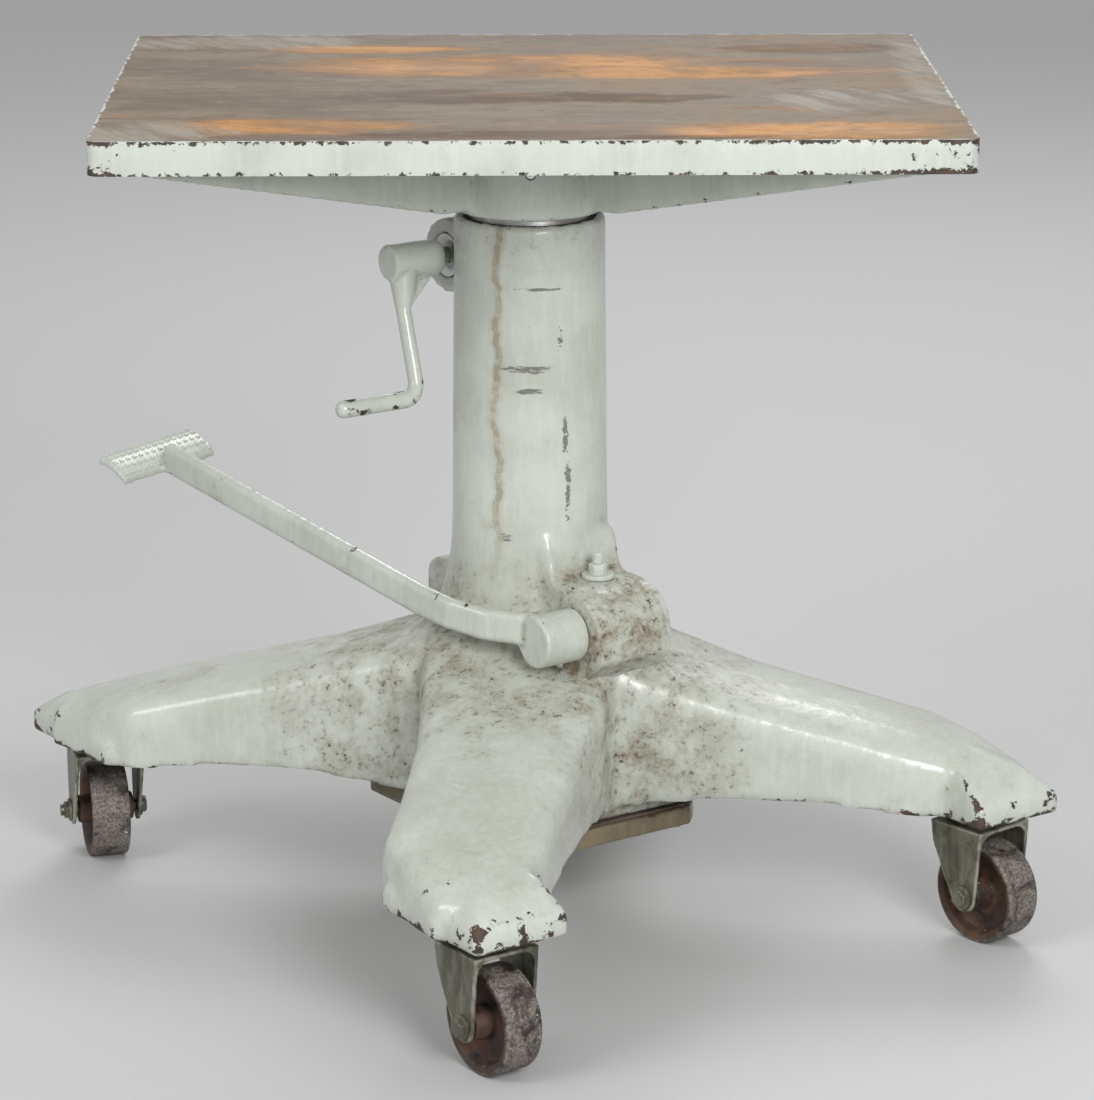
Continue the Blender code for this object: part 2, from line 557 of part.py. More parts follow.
# ---- hydraulics ---------------------------------------------------------------------------------
def build_hydraulics(ram_axis):
    block_top = WELL_LEDGE - GAP
    block = box("pump_block", (-LEDGE_X - 20 * MM, -LEDGE_Y - 8 * MM, block_top - BLOCK_THICK),
                (LEDGE_X + 20 * MM, LEDGE_Y + 8 * MM, block_top), IRON, chamfer=34 * MM, upright_only=True)
    cut(block, rod("feed_bore", 5 * MM, (PUMP_X, PUMP_Y, block_top - 12 * MM), (PUMP_X, PUMP_Y, 230 * MM),
                   steps=12))
    for k, (x, y) in enumerate(block_screw_places(), 1):
        cut(block, rod(f"block_hole_{k}", BLOCK_SCREW_RADIUS + GAP, (x, y, 120 * MM), (x, y, 220 * MM),
                       steps=12))
        hex_screw(f"block_screw_{k}", BLOCK_SCREW_RADIUS, 9 * MM, 6 * MM,
                  (x, y, block_top - BLOCK_THICK - GAP), BLOCK_THICK + 16 * MM, STEEL)
    foot_z = block_top + GAP
    top = foot_z + CYLINDER_LENGTH
    turned("hydraulic_cylinder",
           [(CYLINDER_BORE, top), (CYLINDER_OUTER, top), (CYLINDER_OUTER, foot_z + 12 * MM),
            (CYLINDER_FLANGE, foot_z + 12 * MM), (CYLINDER_FLANGE, foot_z), (0, foot_z),
            (0, foot_z + CYLINDER_FLOOR), (CYLINDER_BORE, foot_z + CYLINDER_FLOOR), (CYLINDER_BORE, top)],
           STEEL, steps=COARSE)
    turned("cylinder_head",
           [(ROD_RADIUS + RUN, top + 10 * MM), (CYLINDER_OUTER, top + 10 * MM), (CYLINDER_OUTER, top + GAP),
            (CYLINDER_BORE - GAP, top + GAP), (CYLINDER_BORE - GAP, top - HEAD_LENGTH),
            (ROD_RADIUS + RUN, top - HEAD_LENGTH)],
           BRONZE, steps=COARSE, ring=True)
    low = foot_z + CYLINDER_FLOOR + 3 * MM
    run = CYLINDER_BORE - RUN
    turned("piston", [(0, low + PISTON_LENGTH), (run, low + PISTON_LENGTH), (run, low), (0, low)],
           STEEL, ram_axis, steps=COARSE)
    seal_top = low + PISTON_LENGTH + GAP + SEAL_LENGTH
    turned("piston_seal", [(12 * MM, seal_top), (run, seal_top), (run, seal_top - SEAL_LENGTH),
                           (12 * MM, seal_top - SEAL_LENGTH)], LEATHER, ram_axis, steps=COARSE, ring=True)
    crown_top = TABLE_HEIGHT - HUB_SOCKET_TOP - GAP
    crown_low = crown_top - RAM_CROWN
    turned("piston_rod", [(0, crown_low - GAP), (ROD_RADIUS, crown_low - GAP), (ROD_RADIUS, seal_top + GAP),
                          (11 * MM, seal_top + GAP), (11 * MM, low + PISTON_LENGTH + GAP),
                          (0, low + PISTON_LENGTH + GAP)], STEEL, ram_axis, steps=COARSE)
    inner = RAM_RADIUS - RAM_WALL
    turned("ram", [(0, crown_top), (RAM_RADIUS - 2 * MM, crown_top), (RAM_RADIUS, crown_top - 2 * MM),
                   (RAM_RADIUS, RAM_BOTTOM), (inner, RAM_BOTTOM), (inner, crown_low), (0, crown_low)],
           STEEL, ram_axis)
    inside, outside = RAM_RADIUS + RUN, COLUMN_BORE - GAP
    bush_top = LOCK_Z - COTTER_RADIUS - 8 * MM
    bush_low = bush_top - BUSH_LENGTH
    bush = [(inside, bush_top), (outside, bush_top), (outside, bush_low), (inside, bush_low)]
    turned("guide_bush", bush, BRONZE, ring=True)
    wiper_top = COLUMN_TOP - WIPER_DROP
    wiper_low = wiper_top - WIPER_HEIGHT
    wiper = [(inside, wiper_top), (outside, wiper_top), (outside, wiper_low), (inside, wiper_low)]
    turned("wiper_ring", wiper, LEATHER, ring=True)


# ---- tabletop -----------------------------------------------------------------------------------
def build_tabletop(ram_axis):
    """The plate with its rim, the hub and four ribs to the corners, turning on the ram's head."""
    swivel = axis("table_swivel_axis", (0, 0, TABLE_HEIGHT), (0, 0, TABLE_TURN), ram_axis)
    half_x, half_y = TABLE_LENGTH / 2, TABLE_WIDTH / 2
    plate = box("tabletop", (-half_x, -half_y, -PLATE_EDGE), (half_x, half_y, 0), TOP_IRON, swivel,
                chamfer=PLATE_CORNER, upright_only=True, segments=3)
    cut(plate, box("rim_hollow", (-half_x + RIM_WIDTH, -half_y + RIM_WIDTH, -PLATE_EDGE - 20 * MM),
                   (half_x - RIM_WIDTH, half_y - RIM_WIDTH, -PLATE_WEB), parent=swivel))
    hub_low = -PLATE_EDGE - HUB_DEPTH
    join(plate, rod("hub", HUB_RADIUS, (0, 0, hub_low), (0, 0, -PLATE_WEB / 2), parent=swivel, steps=FINE))
    reach = math.hypot(half_x, half_y) - RIB_INSET
    lean = math.atan2(half_y, half_x)
    for k, angle in enumerate((lean, math.pi - lean, math.pi + lean, -lean), 1):
        side = [(RAM_RADIUS + 6 * MM, -PLATE_WEB / 2), (RAM_RADIUS + 6 * MM, -PLATE_EDGE - RIB_DEPTH),
                (HUB_RADIUS + 12 * MM, -PLATE_EDGE - RIB_DEPTH), (HUB_RADIUS + 40 * MM,
                                                                  -PLATE_EDGE - RIB_DEPTH + 10 * MM),
                (reach, -PLATE_EDGE - 2 * MM), (reach, -PLATE_WEB / 2)]
        rib = outline(f"rib_{k}", side, -RIB_THICK / 2, RIB_THICK / 2, across="Y", parent=swivel)
        rib.rotation_euler = (0, 0, angle)
        join(plate, rib)
    cut(plate, rod("ram_socket", RAM_RADIUS + RUN, (0, 0, hub_low - 20 * MM), (0, 0, -HUB_SOCKET_TOP),
                   parent=swivel, steps=FINE))
    screw_z = -PLATE_EDGE - SET_SCREW_DROP
    start, end = (0, -RAM_RADIUS - GAP - 0.4 * MM, screw_z), (0, -HUB_RADIUS + 2 * MM, screw_z)
    cut(plate, rod("set_screw_bore", SET_SCREW_RADIUS + GAP, (0, -RAM_RADIUS + 9 * MM, screw_z),
                   (0, -HUB_RADIUS - 9 * MM, screw_z), parent=swivel, steps=16))
    rod("table_set_screw", SET_SCREW_RADIUS, start, end, STEEL, swivel, steps=16)


# ---- pump, rocker and pedal ---------------------------------------------------------------------
def build_pump():
    block_top = WELL_LEDGE
    barrel = [(PLUNGER_RADIUS + RUN, BARREL_TOP), (BARREL_RADIUS, BARREL_TOP), (BARREL_RADIUS, block_top),
              (0, block_top), (0, block_top + 8 * MM), (PLUNGER_RADIUS + RUN, block_top + 8 * MM),
              (PLUNGER_RADIUS + RUN, BARREL_TOP)]
    turned("pump_barrel", barrel, STEEL, at=(PUMP_X, PUMP_Y, 0), steps=COARSE)
    lift = math.hypot(PUMP_Y - SHAFT_Y, 0) * math.sin(PEDAL_STROKE / 2)
    top = SHAFT_Z + lift - ROCKER_NOSE - GAP
    plunger_axis = axis("plunger_axis", (PUMP_X, PUMP_Y, 0))
    head_low = top - PLUNGER_HEAD_THICK
    turned("pump_plunger",
           [(0, top), (PLUNGER_HEAD, top), (PLUNGER_HEAD, head_low), (PLUNGER_RADIUS, head_low),
            (PLUNGER_RADIUS, block_top + 18 * MM), (0,
                                                    block_top + 18 * MM)], STEEL, plunger_axis, steps=COARSE)
    build_spring(BARREL_TOP + GAP, head_low - GAP)
    return top


def build_spring(low, high):
    """The pedal's return spring, round the plunger between the barrel and the plunger's head."""
    radius = PLUNGER_RADIUS + RUN + SPRING_WIRE + 1 * MM
    steps = SPRING_TURNS * SPRING_POINTS
    curve = bpy.data.curves.new("return_spring_line", "CURVE")
    curve.dimensions = "3D"
    curve.bevel_depth = SPRING_WIRE
    curve.bevel_resolution = 1
    curve.use_fill_caps = True
    spline = curve.splines.new("POLY")
    spline.points.add(steps)
    bottom, top = low + SPRING_WIRE * 1.1, high - SPRING_WIRE * 1.1
    for i, point in enumerate(spline.points):
        angle = 2 * math.pi * i / SPRING_POINTS
        point.co = (radius * math.cos(angle), radius * math.sin(angle),
                    bottom + (top - bottom) * i / steps, 1)
    line = bpy.data.objects.new("return_spring_line", curve)
    cutters.objects.link(line)
    bpy.context.view_layer.update()
    mesh = bpy.data.meshes.new_from_object(line.evaluated_get(bpy.context.evaluated_depsgraph_get()))
    bpy.data.objects.remove(line, do_unlink=True)
    bm = bmesh.new()
    bm.from_mesh(mesh)
    bpy.data.meshes.remove(mesh)
    bmesh.ops.remove_doubles(bm, verts=bm.verts, dist=0.00001)
    bmesh.ops.recalc_face_normals(bm, faces=bm.faces)
    return from_bmesh("return_spring", bm, STEEL, at=(PUMP_X, PUMP_Y, 0))


def build_rocker(pedal_axis):
    """The arm on the shaft that presses the plunger; the stop screw holds its back."""
    middle = PUMP_X
    low, high = middle - ROCKER_WIDTH / 2, middle + ROCKER_WIDTH / 2
    reach = PUMP_Y - SHAFT_Y
    nose_y = reach * math.cos(PEDAL_STROKE / 2)
    nose_z = reach * math.sin(PEDAL_STROKE / 2)
    rocker = rod("rocker_arm", ROCKER_HUB, (low, 0, 0), (high, 0, 0), IRON, pedal_axis)
    side = [(0, ROCKER_NOSE)] + arc((nose_y, nose_z), ROCKER_NOSE, 90, -90, 9)
    side += [(ROCKER_HUB, -ROCKER_RELIEF), (0, -ROCKER_RELIEF)]
    join(rocker, outline("rocker_bar", side, low + 1 * MM, high - 1 * MM, parent=pedal_axis))
    cut(rocker, rod("rocker_bore", SHAFT_RADIUS + GAP, (low - 9 * MM, 0, 0), (high + 9 * MM, 0, 0),
                    parent=pedal_axis))
    boss_right = HOOD_LEFT - PEDAL_BOSS_GAP
    rod("pedal_shaft", SHAFT_RADIUS, (boss_right - PEDAL_BOSS_LENGTH + 4 * MM, 0, 0),
        (HOOD_RIGHT - 1 * MM, 0, 0),
        STEEL, pedal_axis)
    outer = SHAFT_RADIUS + BUSH_WALL
    spans = ((HOOD_LEFT, HOOD_LEFT + HOOD_CHEEK), (HOOD_RIGHT - HOOD_CHEEK, HOOD_RIGHT))
    for k, (left, right) in enumerate(spans, 1):
        bush = rod(f"shaft_bush_{k}", outer, (left + GAP, SHAFT_Y, SHAFT_Z),
                   (right - GAP, SHAFT_Y, SHAFT_Z), BRONZE)
        cut(bush, rod(f"shaft_bush_bore_{k}", SHAFT_RADIUS + RUN, (left - 9 * MM, SHAFT_Y, SHAFT_Z),
                      (right + 9 * MM, SHAFT_Y, SHAFT_Z)))


def build_stop():
    """The stop screw on top of the hood, with its washer and lock nut."""
    washer_top = STOP_SEAT + GAP + 4.5 * MM
    nut_top = washer_top + GAP + 10 * MM
    bore = STOP_RADIUS + GAP
    turned("stop_washer", [(bore, washer_top), (15 * MM, washer_top), (16.5 * MM, washer_top - 1.5 * MM),
                           (16.5 * MM, STOP_SEAT + GAP), (bore, STOP_SEAT + GAP)], PAINT,
           at=(PUMP_X, STOP_Y, 0), steps=COARSE, ring=True)
    nut = rod("stop_nut", 9.8 * MM, (PUMP_X, STOP_Y, washer_top + GAP), (PUMP_X, STOP_Y, nut_top), PAINT,
              steps=6)
    cut(nut, rod("stop_nut_bore", bore, (PUMP_X, STOP_Y, washer_top - 9 * MM),
                 (PUMP_X, STOP_Y, nut_top + 9 * MM),
                 steps=16))
    lean = PEDAL_STROKE / 2
    out = STOP_Y - SHAFT_Y
    rocker_top = SHAFT_Z + out * math.tan(lean) + ROCKER_NOSE + 1.2 * MM
    rod("stop_stud", STOP_RADIUS, (PUMP_X, STOP_Y, rocker_top), (PUMP_X, STOP_Y, STOP_TOP), PAINT, steps=16)
    plug_seat = REAR_FACE + GAP
    plug = rod("filler_plug", FILLER_HEAD, (PUMP_X, plug_seat, FILLER_Z),
               (PUMP_X, plug_seat + 5 * MM, FILLER_Z),
               STEEL)
    join(plug, rod("filler_shank", FILLER_RADIUS, (PUMP_X, REAR_FACE - 26 * MM, FILLER_Z),
                   (PUMP_X, plug_seat + 2 * MM, FILLER_Z)),
         box("filler_square", (PUMP_X - 7 * MM, plug_seat + 2 * MM, FILLER_Z - 7 * MM),
             (PUMP_X + 7 * MM, plug_seat + 16 * MM, FILLER_Z + 7 * MM)))


def sweep(name, route, height, thick, parent, corner=4 * MM):
    """A bar with chamfered corners along a route, its height kept upright."""
    rings = []
    for i, point in enumerate(route):
        before, after = route[max(i - 1, 0)], route[min(i + 1, len(route) - 1)]
        along = (after - before).normalized()
        across = along.cross(Vector((0, 0, 1))).normalized()
        upward = across.cross(along)
        h, t = height / 2, thick / 2
        corners = [(t, h - corner), (t - corner, h), (corner - t, h), (-t, h - corner),
                   (-t, corner - h), (corner - t, -h), (t - corner, -h), (t, corner - h)]
        rings.append([point + across * a + upward * b for a, b in corners])
    return loft(name, rings, None, parent)


def tread_ring(share, half_width):
    """A cross-section of the arched tread; share runs from -1 at the near edge to 1 at the far edge."""
    return half_width * share, -TREAD_SAG * ((1 - share) / 2) ** 2


def build_pedal(pedal_axis):
    right = HOOD_LEFT - PEDAL_BOSS_GAP
    left = right - PEDAL_BOSS_LENGTH
    pedal = rod("pedal_arm", PEDAL_BOSS_RADIUS, (left, 0, 0), (right, 0, 0), PAINT, pedal_axis, steps=32)
    route = [Vector(mm(p)) for p in PEDAL_ROUTE]
    join(pedal, sweep("pedal_bar", route, PEDAL_BAR_HEIGHT, PEDAL_BAR_THICK, pedal_axis))
    centre = Vector(mm(TREAD_CENTRE))
    across = Vector((math.cos(TREAD_TURN) * math.cos(TREAD_ROLL),
                     math.sin(TREAD_TURN) * math.cos(TREAD_ROLL),
                     math.sin(TREAD_ROLL)))
    along = Vector((-math.sin(TREAD_TURN), math.cos(TREAD_TURN), 0))
    rings = []
    shares = [-1 + 2 * i / 6 for i in range(7)]
    for side in (-1, 1):
        top, bottom = [], []
        for share in shares:
            out, drop = tread_ring(share, TREAD_WIDTH / 2)
            middle = centre + across * side * TREAD_LENGTH / 2 + along * out + Vector((0, 0, drop))
            top.append(middle + Vector((0, 0, TREAD_THICK / 2)))
            bottom.append(middle - Vector((0, 0, TREAD_THICK / 2)))
        rings.append(top + bottom[::-1])
    join(pedal, loft("tread", rings, None, pedal_axis))
    cut(pedal, rod("pedal_bore", SHAFT_RADIUS + GAP, (left + 3 * MM, 0, 0), (right + 9 * MM, 0, 0),
                   parent=pedal_axis))
    screw_x = (left + right) / 2 + 8 * MM
    low = -PEDAL_BOSS_RADIUS
    cut(pedal, rod("pedal_screw_bore", 4 * MM + GAP, (screw_x, 0, low - 9 * MM),
                   (screw_x, 0, -SHAFT_RADIUS + 3 * MM),
                   parent=pedal_axis, steps=12))
    rod("pedal_set_screw", 4 * MM, (screw_x, 0, low - 4 * MM),
        (screw_x, 0, -SHAFT_RADIUS - GAP - 0.3 * MM), STEEL,
        pedal_axis, steps=12)


# ---- ram lock -----------------------------------------------------------------------------------
def build_lock():
    """The crank, its screw and the split cotter that grips the ram."""
    turn = axis("lock_axis", (0, LOCK_Y, LOCK_Z), (CRANK_REST, 0, 0))
    face = -LOCK_BOSS_HALF - CRANK_GAP
    end = face - CRANK_HUB_LENGTH
    rod_x = end + CRANK_ROD_RADIUS + 1.5 * MM
    crank = rod("lock_crank", CRANK_HUB_RADIUS, (end, 0, 0), (face, 0, 0), PAINT, turn, steps=32)
    root = CRANK_HUB_RADIUS - 1 * MM
    inner = rod_x + CRANK_ROD_RADIUS
    web = [(rod_x, 0), (face - 9 * MM, 0), (face - 9 * MM, -CRANK_HUB_RADIUS + 1 * MM),
           (inner - 1 * MM, -CRANK_TAPER),
           (rod_x, -CRANK_TAPER)]
    join(crank, rod("crank_root", root, (end + 1 * MM + root, 0, 0), (rod_x, 0, -CRANK_TAPER), parent=turn,
                    end_radius=CRANK_ROD_RADIUS + 0.3 * MM),
         outline("crank_web", web, -CRANK_WEB_HALF, CRANK_WEB_HALF, across="Y", parent=turn),
         bent_rod("crank_rod", crank_line(rod_x), turn))
    bore = LOCK_SCREW_RADIUS + GAP
    cut(crank, rod("crank_bore", bore, (end + 8 * MM, 0, 0), (face + 9 * MM, 0, 0), parent=turn, steps=16))
    rod("lock_screw", LOCK_SCREW_RADIUS, (end + 8.5 * MM, 0, 0), (LOCK_BOSS_HALF - 3 * MM, 0, 0), STEEL,
        turn, steps=16)
    spans = {"cotter_near": (-LOCK_BOSS_HALF + 2 * MM, -COTTER_SLOT / 2),
             "cotter_far": (COTTER_SLOT / 2, LOCK_BOSS_HALF - 2 * MM)}
    for name, (left, right) in spans.items():
        cotter = rod(name, COTTER_RADIUS, (left, LOCK_Y, LOCK_Z), (right, LOCK_Y, LOCK_Z), STEEL)
        cut(cotter, rod(name + "_bore", bore, (left - 9 * MM, LOCK_Y, LOCK_Z),
                        (right + 9 * MM, LOCK_Y, LOCK_Z),
                        steps=16),
            rod(name + "_saddle", RAM_RADIUS + COTTER_RELIEF, (0, 0, LOCK_Z - 60 * MM),
                (0, 0, LOCK_Z + 60 * MM),
                steps=FINE))


def crank_line(rod_x):
    """The crank's rod, its bend and its grip, as (x, z, radius) below the lock screw's axis."""
    bend = CRANK_BEND
    end = rod_x - GRIP_REACH
    turn_at = (rod_x - bend, -CRANK_THROW + bend)
    line = [(rod_x, -CRANK_TAPER + 14 * MM, CRANK_ROD_RADIUS)]
    for i, (x, z) in enumerate(arc(turn_at, bend, 0, -90, 6)):
        line.append((x, z, CRANK_ROD_RADIUS + (GRIP_RADIUS - CRANK_ROD_RADIUS) * i / 5))
    line += [(end + 6 * MM, -CRANK_THROW, GRIP_RADIUS), (end + 2 * MM, -CRANK_THROW, GRIP_RADIUS * 0.85),
             (end, -CRANK_THROW, GRIP_RADIUS * 0.5)]
    return line


def bent_rod(name, line, parent):
    """A round rod of changing radius along a line in the X, Z plane."""
    rings = []
    for i, (x, z, radius) in enumerate(line):
        before, after = line[max(i - 1, 0)], line[min(i + 1, len(line) - 1)]
        along = Vector((after[0] - before[0], 0, after[1] - before[1])).normalized()
        across, upward = Vector((0, 1, 0)), along.cross(Vector((0, 1, 0)))
        angles = [2 * math.pi * (j + 0.5) / 16 for j in range(16)]
        rings.append([Vector((x, 0,
                              z)) + (across * math.cos(a) + upward * math.sin(a)) * radius for a in angles])
    return loft(name, rings, None, parent)


# ---- casters ------------------------------------------------------------------------------------
def wheel_profile():
    """Half section of a cast wheel as (radius, along the axle): tread, dished web, hub."""
    rim = WHEEL_RADIUS - 9 * MM
    return [(AXLE_RADIUS + RUN, WHEEL_HUB_HALF), (WHEEL_HUB_RADIUS - 4 * MM, WHEEL_HUB_HALF),
            (WHEEL_HUB_RADIUS, 8 * MM), (rim - 3 * MM, 7 * MM), (rim, TREAD_HALF), (WHEEL_RADIUS - 3 * MM,
                                                                                    TREAD_HALF),
            (WHEEL_RADIUS, TREAD_HALF - 4 * MM)]


def fork_side():
    """The fork's side view: the crown over the swivel axis and a leg down to the axle."""
    boss = arc((CASTER_TRAIL, AXLE_HEIGHT), 16 * MM, 0, -165, 9)
    lead = CASTER_TRAIL - 46 * MM
    return [(lead, FORK_CROWN), (lead + 3 * MM, FORK_CROWN - 21 * MM),
            (lead + 12 * MM, FORK_CROWN - 41 * MM)] + \
        boss[::-1] + [(CASTER_TRAIL + 22 * MM, FORK_CROWN)]


def fork_opening():
    """The arched room between the fork's cheeks as (across, height)."""
    half = FORK_HALF - FORK_SHEET
    top = FORK_CROWN - FORK_SHEET
    left = arc((-half + 14 * MM, top - 14 * MM), 14 * MM, 180, 90, 4)
    right = arc((half - 14 * MM, top - 14 * MM), 14 * MM, 90, 0, 4)
    return [(-half, 10 * MM)] + left + right + [(half, 10 * MM)]


def build_caster(k, sign_x, sign_y, heading):
    at = (sign_x * FOOT_X, sign_y * (FOOT_Y + STEM_OUT), 0)
    race_top, race_low = FOOT_UNDER - GAP, FORK_CROWN + GAP
    crown_low = FORK_CROWN - FORK_SHEET
    turned(f"caster_{k}_stem",
           [(0, FOOT_UNDER + STEM_LENGTH), (STEM_RADIUS, FOOT_UNDER + STEM_LENGTH), (STEM_RADIUS, race_top),
            (RACE_RADIUS - 3 * MM, race_top), (RACE_RADIUS, race_top - 4 * MM), (RACE_RADIUS - 3 * MM,
                                                                                 race_low),
            (8 * MM, race_low), (8 * MM, crown_low - GAP), (13 * MM, crown_low - GAP),
            (11 * MM, crown_low - 7 * MM), (0, crown_low - 7 * MM)], FORK_STEEL, at=at, steps=16)
    swivel = axis(f"caster_{k}_swivel_axis", at, (0, 0, math.radians(heading)))
    fork = outline(f"caster_{k}_fork", fork_side(), -FORK_HALF, FORK_HALF, "Y", FORK_STEEL, swivel)
    cut(fork, outline(f"fork_{k}_opening", fork_opening(), -60 * MM, 90 * MM, "X", parent=swivel),
        rod(f"fork_{k}_stem_hole", 8 * MM + RUN + 0.3 * MM, (0, 0, 100 * MM), (0, 0, 140 * MM),
            parent=swivel, steps=16),
        rod(f"fork_{k}_axle_hole", AXLE_RADIUS + GAP, (CASTER_TRAIL, -60 * MM, AXLE_HEIGHT),
            (CASTER_TRAIL, 60 * MM, AXLE_HEIGHT), parent=swivel, steps=16))
    head = (CASTER_TRAIL, -FORK_HALF - GAP, AXLE_HEIGHT)
    bolt = rod(f"caster_{k}_axle", 10.5 * MM, (CASTER_TRAIL, head[1] - 7 * MM, AXLE_HEIGHT), head,
               FORK_STEEL, swivel,
               steps=6)
    join(bolt, rod(f"axle_{k}_shank", AXLE_RADIUS, (CASTER_TRAIL, head[1] - 3 * MM, AXLE_HEIGHT),
                   (CASTER_TRAIL, FORK_HALF + 13 * MM, AXLE_HEIGHT), parent=swivel, steps=16))
    near, far = FORK_HALF + GAP, FORK_HALF + 9 * MM
    nut = rod(f"caster_{k}_axle_nut", 10.5 * MM, (CASTER_TRAIL, near, AXLE_HEIGHT),
              (CASTER_TRAIL, far, AXLE_HEIGHT),
              FORK_STEEL, swivel, steps=6)
    cut(nut, rod(f"nut_{k}_bore", AXLE_RADIUS + GAP, (CASTER_TRAIL, near - 9 * MM, AXLE_HEIGHT),
                 (CASTER_TRAIL, far + 9 * MM, AXLE_HEIGHT), parent=swivel, steps=16))
    spin = axis(f"caster_{k}_wheel_axis", (CASTER_TRAIL, 0, AXLE_HEIGHT), (math.pi / 2, 0, 0), swivel)
    half = wheel_profile()
    profile = half + [(r, -z) for r, z in half[::-1]]
    wheel = turned(f"caster_{k}_wheel", profile, IRON, spin, steps=WHEEL_STEPS, ring=True)
    wheel.rotation_euler = (0, 0, math.pi / 2 + math.pi / WHEEL_STEPS)


def main():
    build_pedestal()
    build_sump()
    ram_axis = axis("ram_axis", (0, 0, 0))
    build_hydraulics(ram_axis)
    build_tabletop(ram_axis)
    build_pump()
    pedal_axis = axis("pedal_axis", (0, SHAFT_Y, SHAFT_Z))
    build_rocker(pedal_axis)
    build_stop()
    build_pedal(pedal_axis)
    build_lock()
    for k, (sign_x, sign_y, heading) in enumerate(CASTERS, 1):
        build_caster(k, sign_x, sign_y, heading)


main()
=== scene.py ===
# %% [markdown]
# # A foot-pumped elevating table
#
# The object is an old workshop table: a cast-iron pedestal with four splayed legs on casters, a round
# column with a ram inside, a heavy rectangular top that turns on the ram, a foot pedal with a studded
# tread, and a crank near the column's head that locks the ram.
#
# The imported model gives every part its true place and size. This lesson gives the parts the skin that
# a drawing lacks: soft casting edges, brushed enamel with chips and oil, stained bare iron, rusty wheels.
# The frame is loaded first.

# %% Load the imported model
import json
import math

import bmesh
import bpy
import numpy as np
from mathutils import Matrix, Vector


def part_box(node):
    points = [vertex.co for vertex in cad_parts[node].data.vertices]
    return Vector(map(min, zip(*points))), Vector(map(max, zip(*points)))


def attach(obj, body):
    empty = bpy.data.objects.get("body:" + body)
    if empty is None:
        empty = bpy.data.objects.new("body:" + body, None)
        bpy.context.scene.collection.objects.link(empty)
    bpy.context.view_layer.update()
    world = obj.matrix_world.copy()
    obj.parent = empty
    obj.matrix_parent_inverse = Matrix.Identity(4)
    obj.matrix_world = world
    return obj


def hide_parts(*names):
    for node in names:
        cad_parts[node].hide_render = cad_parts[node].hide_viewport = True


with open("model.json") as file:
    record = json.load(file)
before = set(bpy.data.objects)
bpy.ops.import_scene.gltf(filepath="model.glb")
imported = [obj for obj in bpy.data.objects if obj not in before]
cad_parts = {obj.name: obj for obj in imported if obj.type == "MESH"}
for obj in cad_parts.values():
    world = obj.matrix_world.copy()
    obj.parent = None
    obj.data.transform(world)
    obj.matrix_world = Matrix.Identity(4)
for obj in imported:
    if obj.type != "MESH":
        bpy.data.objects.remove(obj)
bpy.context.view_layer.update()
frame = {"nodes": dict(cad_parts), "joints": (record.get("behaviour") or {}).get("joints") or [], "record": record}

MM = 0.001

# %% [markdown]
# ## Camera
#
# The table is seen from the crank's side and a little above it, through a long lens, so the upright
# lines stay nearly parallel. A camera looks along its own -Z, so a level view is a quarter turn about X,
# and a look downwards takes a few degrees off that.

# %% Camera
CAMERA_PLACE = (-2.382, -3.389, 1.516)
CAMERA_HEADING = math.radians(54.66)   # from +X towards +Y
CAMERA_DIP = math.radians(15.49)

camera = bpy.data.objects.new("camera", bpy.data.cameras.new("camera"))
bpy.context.scene.collection.objects.link(camera)
camera.location = CAMERA_PLACE
camera.rotation_euler = (math.pi / 2 - CAMERA_DIP, 0, CAMERA_HEADING - math.pi / 2)
camera.data.lens = 139.39
camera.data.sensor_width = 36
bpy.context.scene.camera = camera
print("camera", round((Vector(CAMERA_PLACE) - Vector((0, 0, 0.4))).length, 2), "m from the column")

# %% [markdown]
# ## Helpers for modelling by hand
#
# An operator works on whatever is selected, so each helper clears the selection first. `choose` opens a
# piece in edit mode with only the faces or edges that pass a test, which is what a click does by hand.

# %% Selecting and editing
def pick(*pieces):
    bpy.ops.object.select_all(action="DESELECT")
    for piece in pieces:
        piece.select_set(True)
    bpy.context.view_layer.objects.active = pieces[0]
    return pieces[0]


def start(operator, name, **settings):
    """Add a primitive with nothing else selected."""
    bpy.ops.object.select_all(action="DESELECT")
    operator(**settings)
    piece = bpy.context.active_object
    piece.name = piece.data.name = name
    return piece


def choose(piece, test, kind="FACE"):
    pick(piece)
    bpy.ops.object.mode_set(mode="EDIT")
    bpy.ops.mesh.select_mode(type=kind)
    bpy.ops.mesh.select_all(action="DESELECT")
    mesh = bmesh.from_edit_mesh(piece.data)
    for item in {"FACE": mesh.faces, "EDGE": mesh.edges, "VERT": mesh.verts}[kind]:
        if test(item):
            item.select_set(True)
    bmesh.update_edit_mesh(piece.data)


def close():
    bpy.ops.object.mode_set(mode="OBJECT")


def apply(piece, kind, **settings):
    step = piece.modifiers.new(kind.lower(), kind)
    for name, value in settings.items():
        setattr(step, name, value)
    pick(piece)
    bpy.ops.object.modifier_apply(modifier=step.name)
    return piece


def settle(piece):
    """Put a piece's place into its mesh, so that its object sits at the origin."""
    pick(piece)
    bpy.ops.object.transform_apply(location=True, rotation=True, scale=True)
    return piece


def weld(*pieces):
    pick(*pieces)
    bpy.ops.object.join()
    return pieces[0]


def cut(piece, *tools):
    """Cut each tool out of the piece and throw the tools away."""
    for tool in tools:
        apply(piece, "BOOLEAN", operation="DIFFERENCE", solver="EXACT", object=tool)
        bpy.data.objects.remove(tool, do_unlink=True)
    return piece


def smooth(piece, degrees=35):
    pick(piece)
    bpy.ops.object.shade_smooth_by_angle(angle=math.radians(degrees))
    return piece


